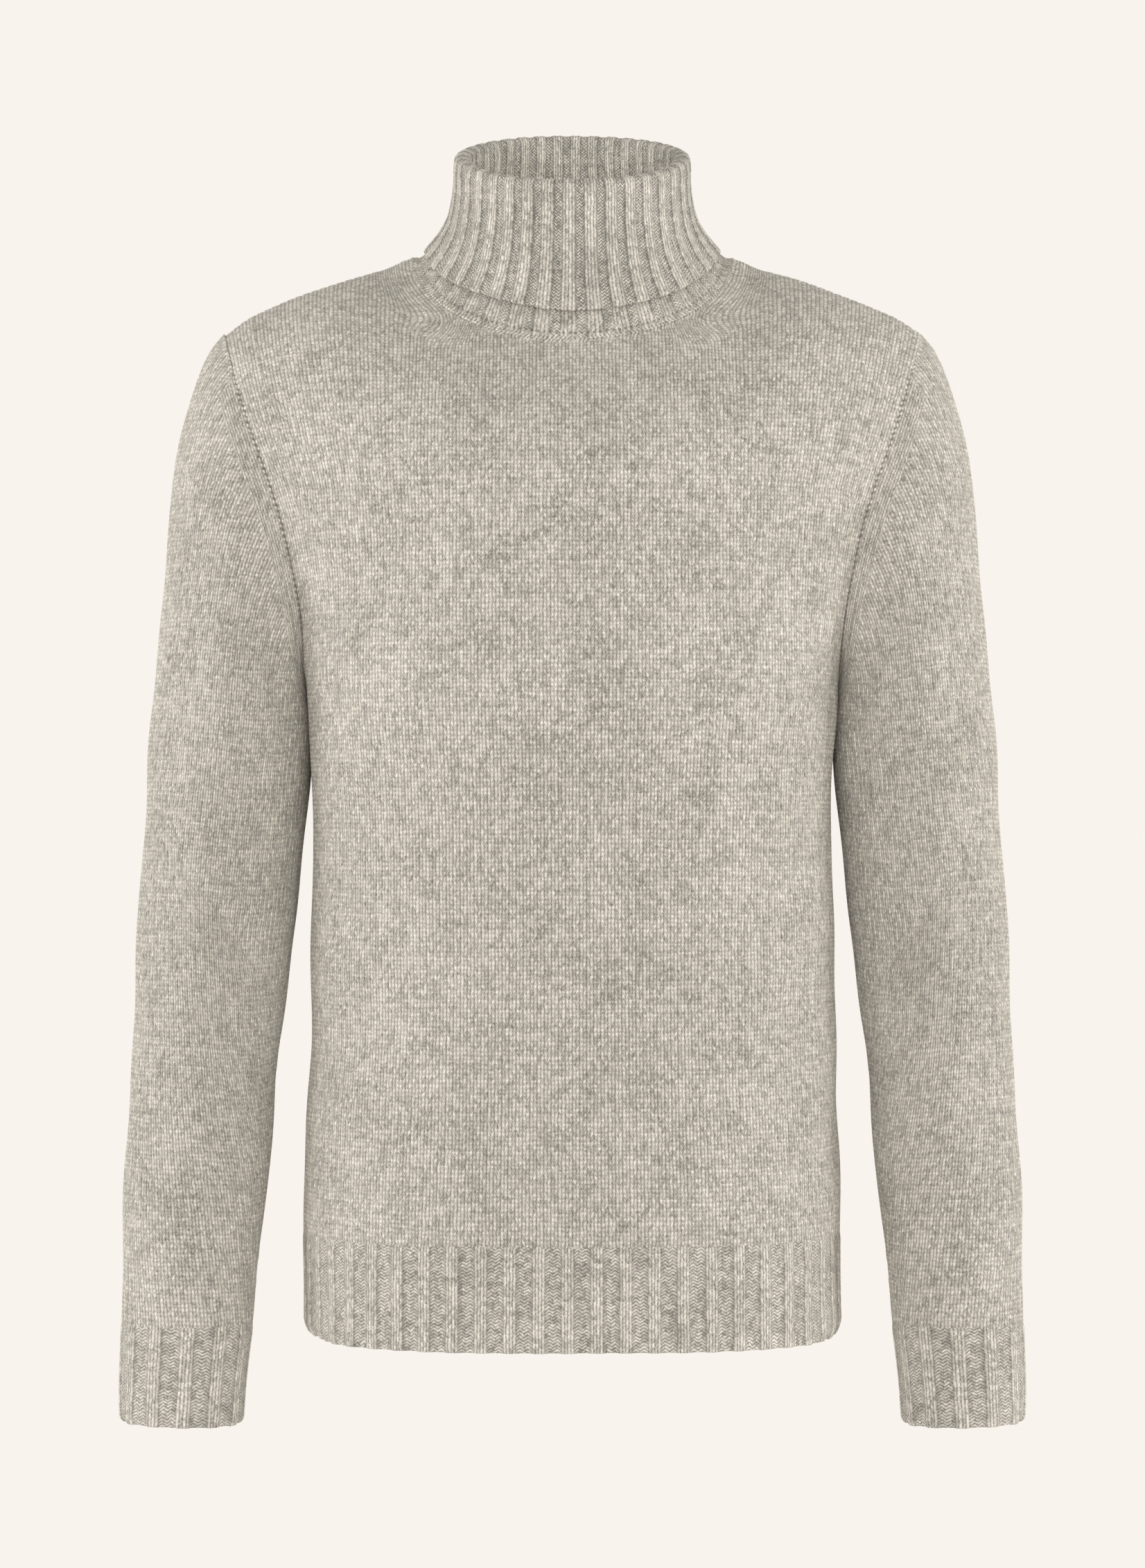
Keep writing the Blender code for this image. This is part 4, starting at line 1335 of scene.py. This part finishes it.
def wool(name, kind):
    """Heather wool, as stocking stitch, as its purl back or as a 2 x 2 rib of both.

    The collar's rib has painted light where it lines the neck: it is paler there, on the inside
    that lies in shade."""
    material = bpy.data.materials.new(name)
    material.use_nodes = True
    tree = material.node_tree
    shader = tree.nodes["Principled BSDF"]

    stitches = tree.nodes.new("ShaderNodeUVMap")
    stitches.uv_map = "stitches"
    flat_u, flat_v, _ = separate(tree, stitches.outputs[0])
    place = tree.nodes.new("ShaderNodeTexCoord").outputs["Object"]

    u = flat_u + (noise(tree, place, STRAY_ACROSS_SCALE) - 0.5) * STRAY_ACROSS
    v = flat_v + (noise(tree, place, STRAY_UP_SCALE) - 0.5) * STRAY_UP
    ribbed = kind in ("rib", "collar")
    if kind == "purl":
        height, cell_u, cell_v = purl_stitch(u, v)
    elif ribbed:
        height, cell_u, cell_v = stocking_stitch(u, v, RIB_LEG_SLOPE, RIB_NOTCHED)
    else:
        height, cell_u, cell_v = stocking_stitch(u, v, LEG_SLOPE, NOTCHED)
    sunk = 0.0
    if ribbed:
        at = (flat_u * (1 / WALES_PER_RIB)).part() * WALES_PER_RIB
        from_rib = (at - 1.0).size().math("MINIMUM", (at - 5.0).size())
        raised = ((1.0 - from_rib) * 3.0 + 0.5).held()
        purl, purl_u, purl_v = purl_stitch(u, v)
        purl = purl * (speckle(tree, purl_u, purl_v) * 0.4 + 0.6)
        purl = purl * 1.25 - 0.01 if kind == "collar" else purl * 0.92 + 0.17
        height = raised.blend(purl, height * 1.06 - 0.04)
        # Painted shade in the grooves where the raised ribs meet the sunk ones, stronger on the
        # collar
        sunk = from_rib.bell(1.0, 0.2) * (0.65 if kind == "collar" else 0.4)

    leg = speckle(tree, cell_u, cell_v)
    streak = noise(tree, vector(tree, flat_u * 0.3, flat_v.whole() * 0.83), 1.0, 3.0)
    fibre = noise(tree, place, 820.0, 3.0)
    cloud = noise(tree, place, 24.0, 2.0)
    patch = noise(tree, place, 95.0, 2.0)
    tone = 0.5
    for part, most in (
        (leg, LEG_TONE), (streak, STREAK_TONE), (fibre, FIBRE_TONE),
        (cloud, CLOUD_TONE), (patch, PATCH_TONE),
    ):
        tone = tone + (part - 0.5) * most

    along = attribute(tree, "seam_along")
    from_armhole, from_neck = attribute(tree, "seam_armhole"), attribute(tree, "seam_neck")
    ladder = beads((along + from_armhole * SEAM_SLANT) * (1 / HOLE_STEP), 2.0)
    ladder = (ladder - 0.6).held() * 2.5
    below_tip = separate(tree, place)[2] - HOLES_FROM_Z * METRE
    below_tip = below_tip * (-1 / (HOLES_FADE * METRE))
    # Painted shade in the holes along the armhole seam, fading out towards the shoulder's tip
    holes = from_armhole.bell(0.2, 1.4) * (below_tip.held() * 1.5 + 0.1)
    if ribbed:
        # and painted shade in the dent above the neckline's chain
        holes = holes + from_neck.bell(ABOVE_CHAIN, 0.9)
    if kind == "rib":
        # Painted shadow on the stand below the collar's fold
        sunk = sunk + from_neck.bell(UNDER_FOLD, UNDER_FOLD_REACH) * UNDER_FOLD_SHADE
    # All the painted shade together, kept from 0 to 1
    painted_shade = (holes * ladder + sunk).held()
    chain = from_neck.bell(CHAIN_FROM_SEAM, 1.5)
    links = beads((along + from_neck * SEAM_SLANT) * (1 / CHAIN_STEP), 2.4)
    height = chain.blend(height, links * 0.8)

    ramp = tree.nodes.new("ShaderNodeValToRGB")
    stops = ramp.color_ramp.elements
    while len(stops) < len(HEATHER):
        stops.new(0.5)
    for stop, (position, colour) in zip(stops, HEATHER):
        stop.position, stop.color = position, (*colour, 1.0)
    tree.links.new(tone.socket, ramp.inputs[0])
    # Painted light and shade: paler on the stitches' raised parts, darker in the gaps between
    # them, and darker still in the seams' holes, beside the raised ribs and under the collar's
    # fold
    light = (GAP_LIGHT + height * HEIGHT_LIGHT) * (1.0 - painted_shade * HOLE_SHADE)
    if kind == "plain":
        # Painted light along the armhole seam, which pales the shade in its trough
        light = light * (from_armhole.bell(0.0, 1.6) * 0.28 + 1.0)
    if kind == "collar":
        # Painted light on the collar's lining below the roll, which lies in shade inside the neck
        light = light * ((attribute(tree, "seam_roll") * -0.06).held() * 0.55 + 1.0)
    shade = tree.nodes.new("ShaderNodeVectorMath")
    shade.operation = "SCALE"
    tree.links.new(ramp.outputs[0], shade.inputs[0])
    tree.links.new(light.socket, shade.inputs["Scale"])
    tree.links.new(shade.outputs[0], shader.inputs["Base Color"])

    fuzz = noise(tree, place, 1300.0, 2.0)
    relief = height * (1.0 - painted_shade) + (fuzz - 0.5) * 0.5 + (fibre - 0.5) * 0.35
    bump = tree.nodes.new("ShaderNodeBump")
    bump.inputs["Strength"].default_value = 0.9
    bump.inputs["Distance"].default_value = STITCH_DEPTH
    tree.links.new(relief.socket, bump.inputs["Height"])
    tree.links.new(bump.outputs[0], shader.inputs["Normal"])
    for name, value in FINISH.items():
        shader.inputs[name].default_value = value
    return material


# ---------------------------------------------------------------- room, light and camera

PALE = (0.939, 0.896, 0.847, 1.0)
FILL_STRENGTH = 0.8
SHADE_ABOVE = 0.55
FLOOR_Z = -0.80
FLOOR_SIZE = 30.0


def pale_light(tree, output, emitter, above=None):
    """The pale surround, dimmer as a light than as what is seen behind the garment.

    above is how far up a direction points, and the surround gives less light from there."""
    path = tree.nodes.new("ShaderNodeLightPath")
    seen = Field(tree, path.outputs["Is Camera Ray"])
    strength = seen * (1 - FILL_STRENGTH) + FILL_STRENGTH
    if above is not None:
        strength = seen.blend(above.held() * (SHADE_ABOVE * -FILL_STRENGTH) + FILL_STRENGTH, 1.0)
    emitter.inputs["Color"].default_value = PALE
    tree.links.new(strength.socket, emitter.inputs["Strength"])
    tree.links.new(emitter.outputs[0], output.inputs["Surface"])


def build_room():
    world = bpy.data.worlds.new("pale_studio")
    bpy.context.scene.world = world
    world.use_nodes = True
    tree = world.node_tree
    above = separate(tree, tree.nodes.new("ShaderNodeTexCoord").outputs["Generated"])[2]
    pale_light(tree, tree.nodes["World Output"], tree.nodes["Background"], above)

    bpy.ops.mesh.primitive_plane_add(size=FLOOR_SIZE, location=(0, 0, FLOOR_Z))
    floor = bpy.context.object
    floor.name = "floor"
    material = bpy.data.materials.new("pale_floor")
    material.use_nodes = True
    tree = material.node_tree
    tree.nodes.remove(tree.nodes["Principled BSDF"])
    emitter = tree.nodes.new("ShaderNodeEmission")
    pale_light(tree, tree.nodes["Material Output"], emitter)
    floor.data.materials.append(material)


LIGHTS = (
    # name, place, width, height, watts
    ("front_left", (-0.7, -2.8, -0.2), 1.6, 1.6, 21.5),
    ("front_right", (0.7, -2.8, -0.2), 1.6, 1.6, 21.5),
    ("side_left", (-2.4, -0.3, -0.4), 0.8, 2.0, 32.0),
    ("side_right", (2.4, -0.3, -0.4), 0.8, 2.0, 32.0),
    ("behind", (0.3, 2.8, 0.4), 2.0, 2.0, 26.0),
)
LIGHT_AIM = (0.0, 0.0, -0.33)


def build_lights():
    for name, place, width, height, watts in LIGHTS:
        data = bpy.data.lights.new(name, "AREA")
        data.shape, data.size, data.size_y = "RECTANGLE", width, height
        data.energy = watts
        lamp = new_object(name, data)
        lamp.location = place
        way = np.array(LIGHT_AIM) - np.array(place)
        lamp.rotation_euler = Vector(way).to_track_quat("-Z", "Y").to_euler()


CAMERA_PLACE = (0.0, -2.6, -0.327)
FRAME_HEIGHT = 0.9727
SENSOR = 36.0


def build_camera():
    data = bpy.data.cameras.new("camera")
    data.sensor_width = SENSOR
    data.lens = SENSOR * -CAMERA_PLACE[1] / FRAME_HEIGHT
    camera = new_object("camera", data)
    camera.location = CAMERA_PLACE
    camera.rotation_euler = (math.pi / 2, 0.0, 0.0)
    bpy.context.scene.camera = camera


def build():
    bpy.context.scene.view_settings.view_transform = "Standard"
    plain, inside = wool("plain_wool", "plain"), wool("plain_wool_inside", "purl")
    rib, collar = wool("rib_wool", "rib"), wool("collar_wool", "collar")
    neck_edge = build_panels_and_sleeves((plain, inside))
    for side in SIDES:
        build_hem(side, (rib, rib))
    build_cuffs((rib, rib))
    build_collar(neck_edge, (collar, rib))
    build_room()
    build_lights()
    build_camera()


build()
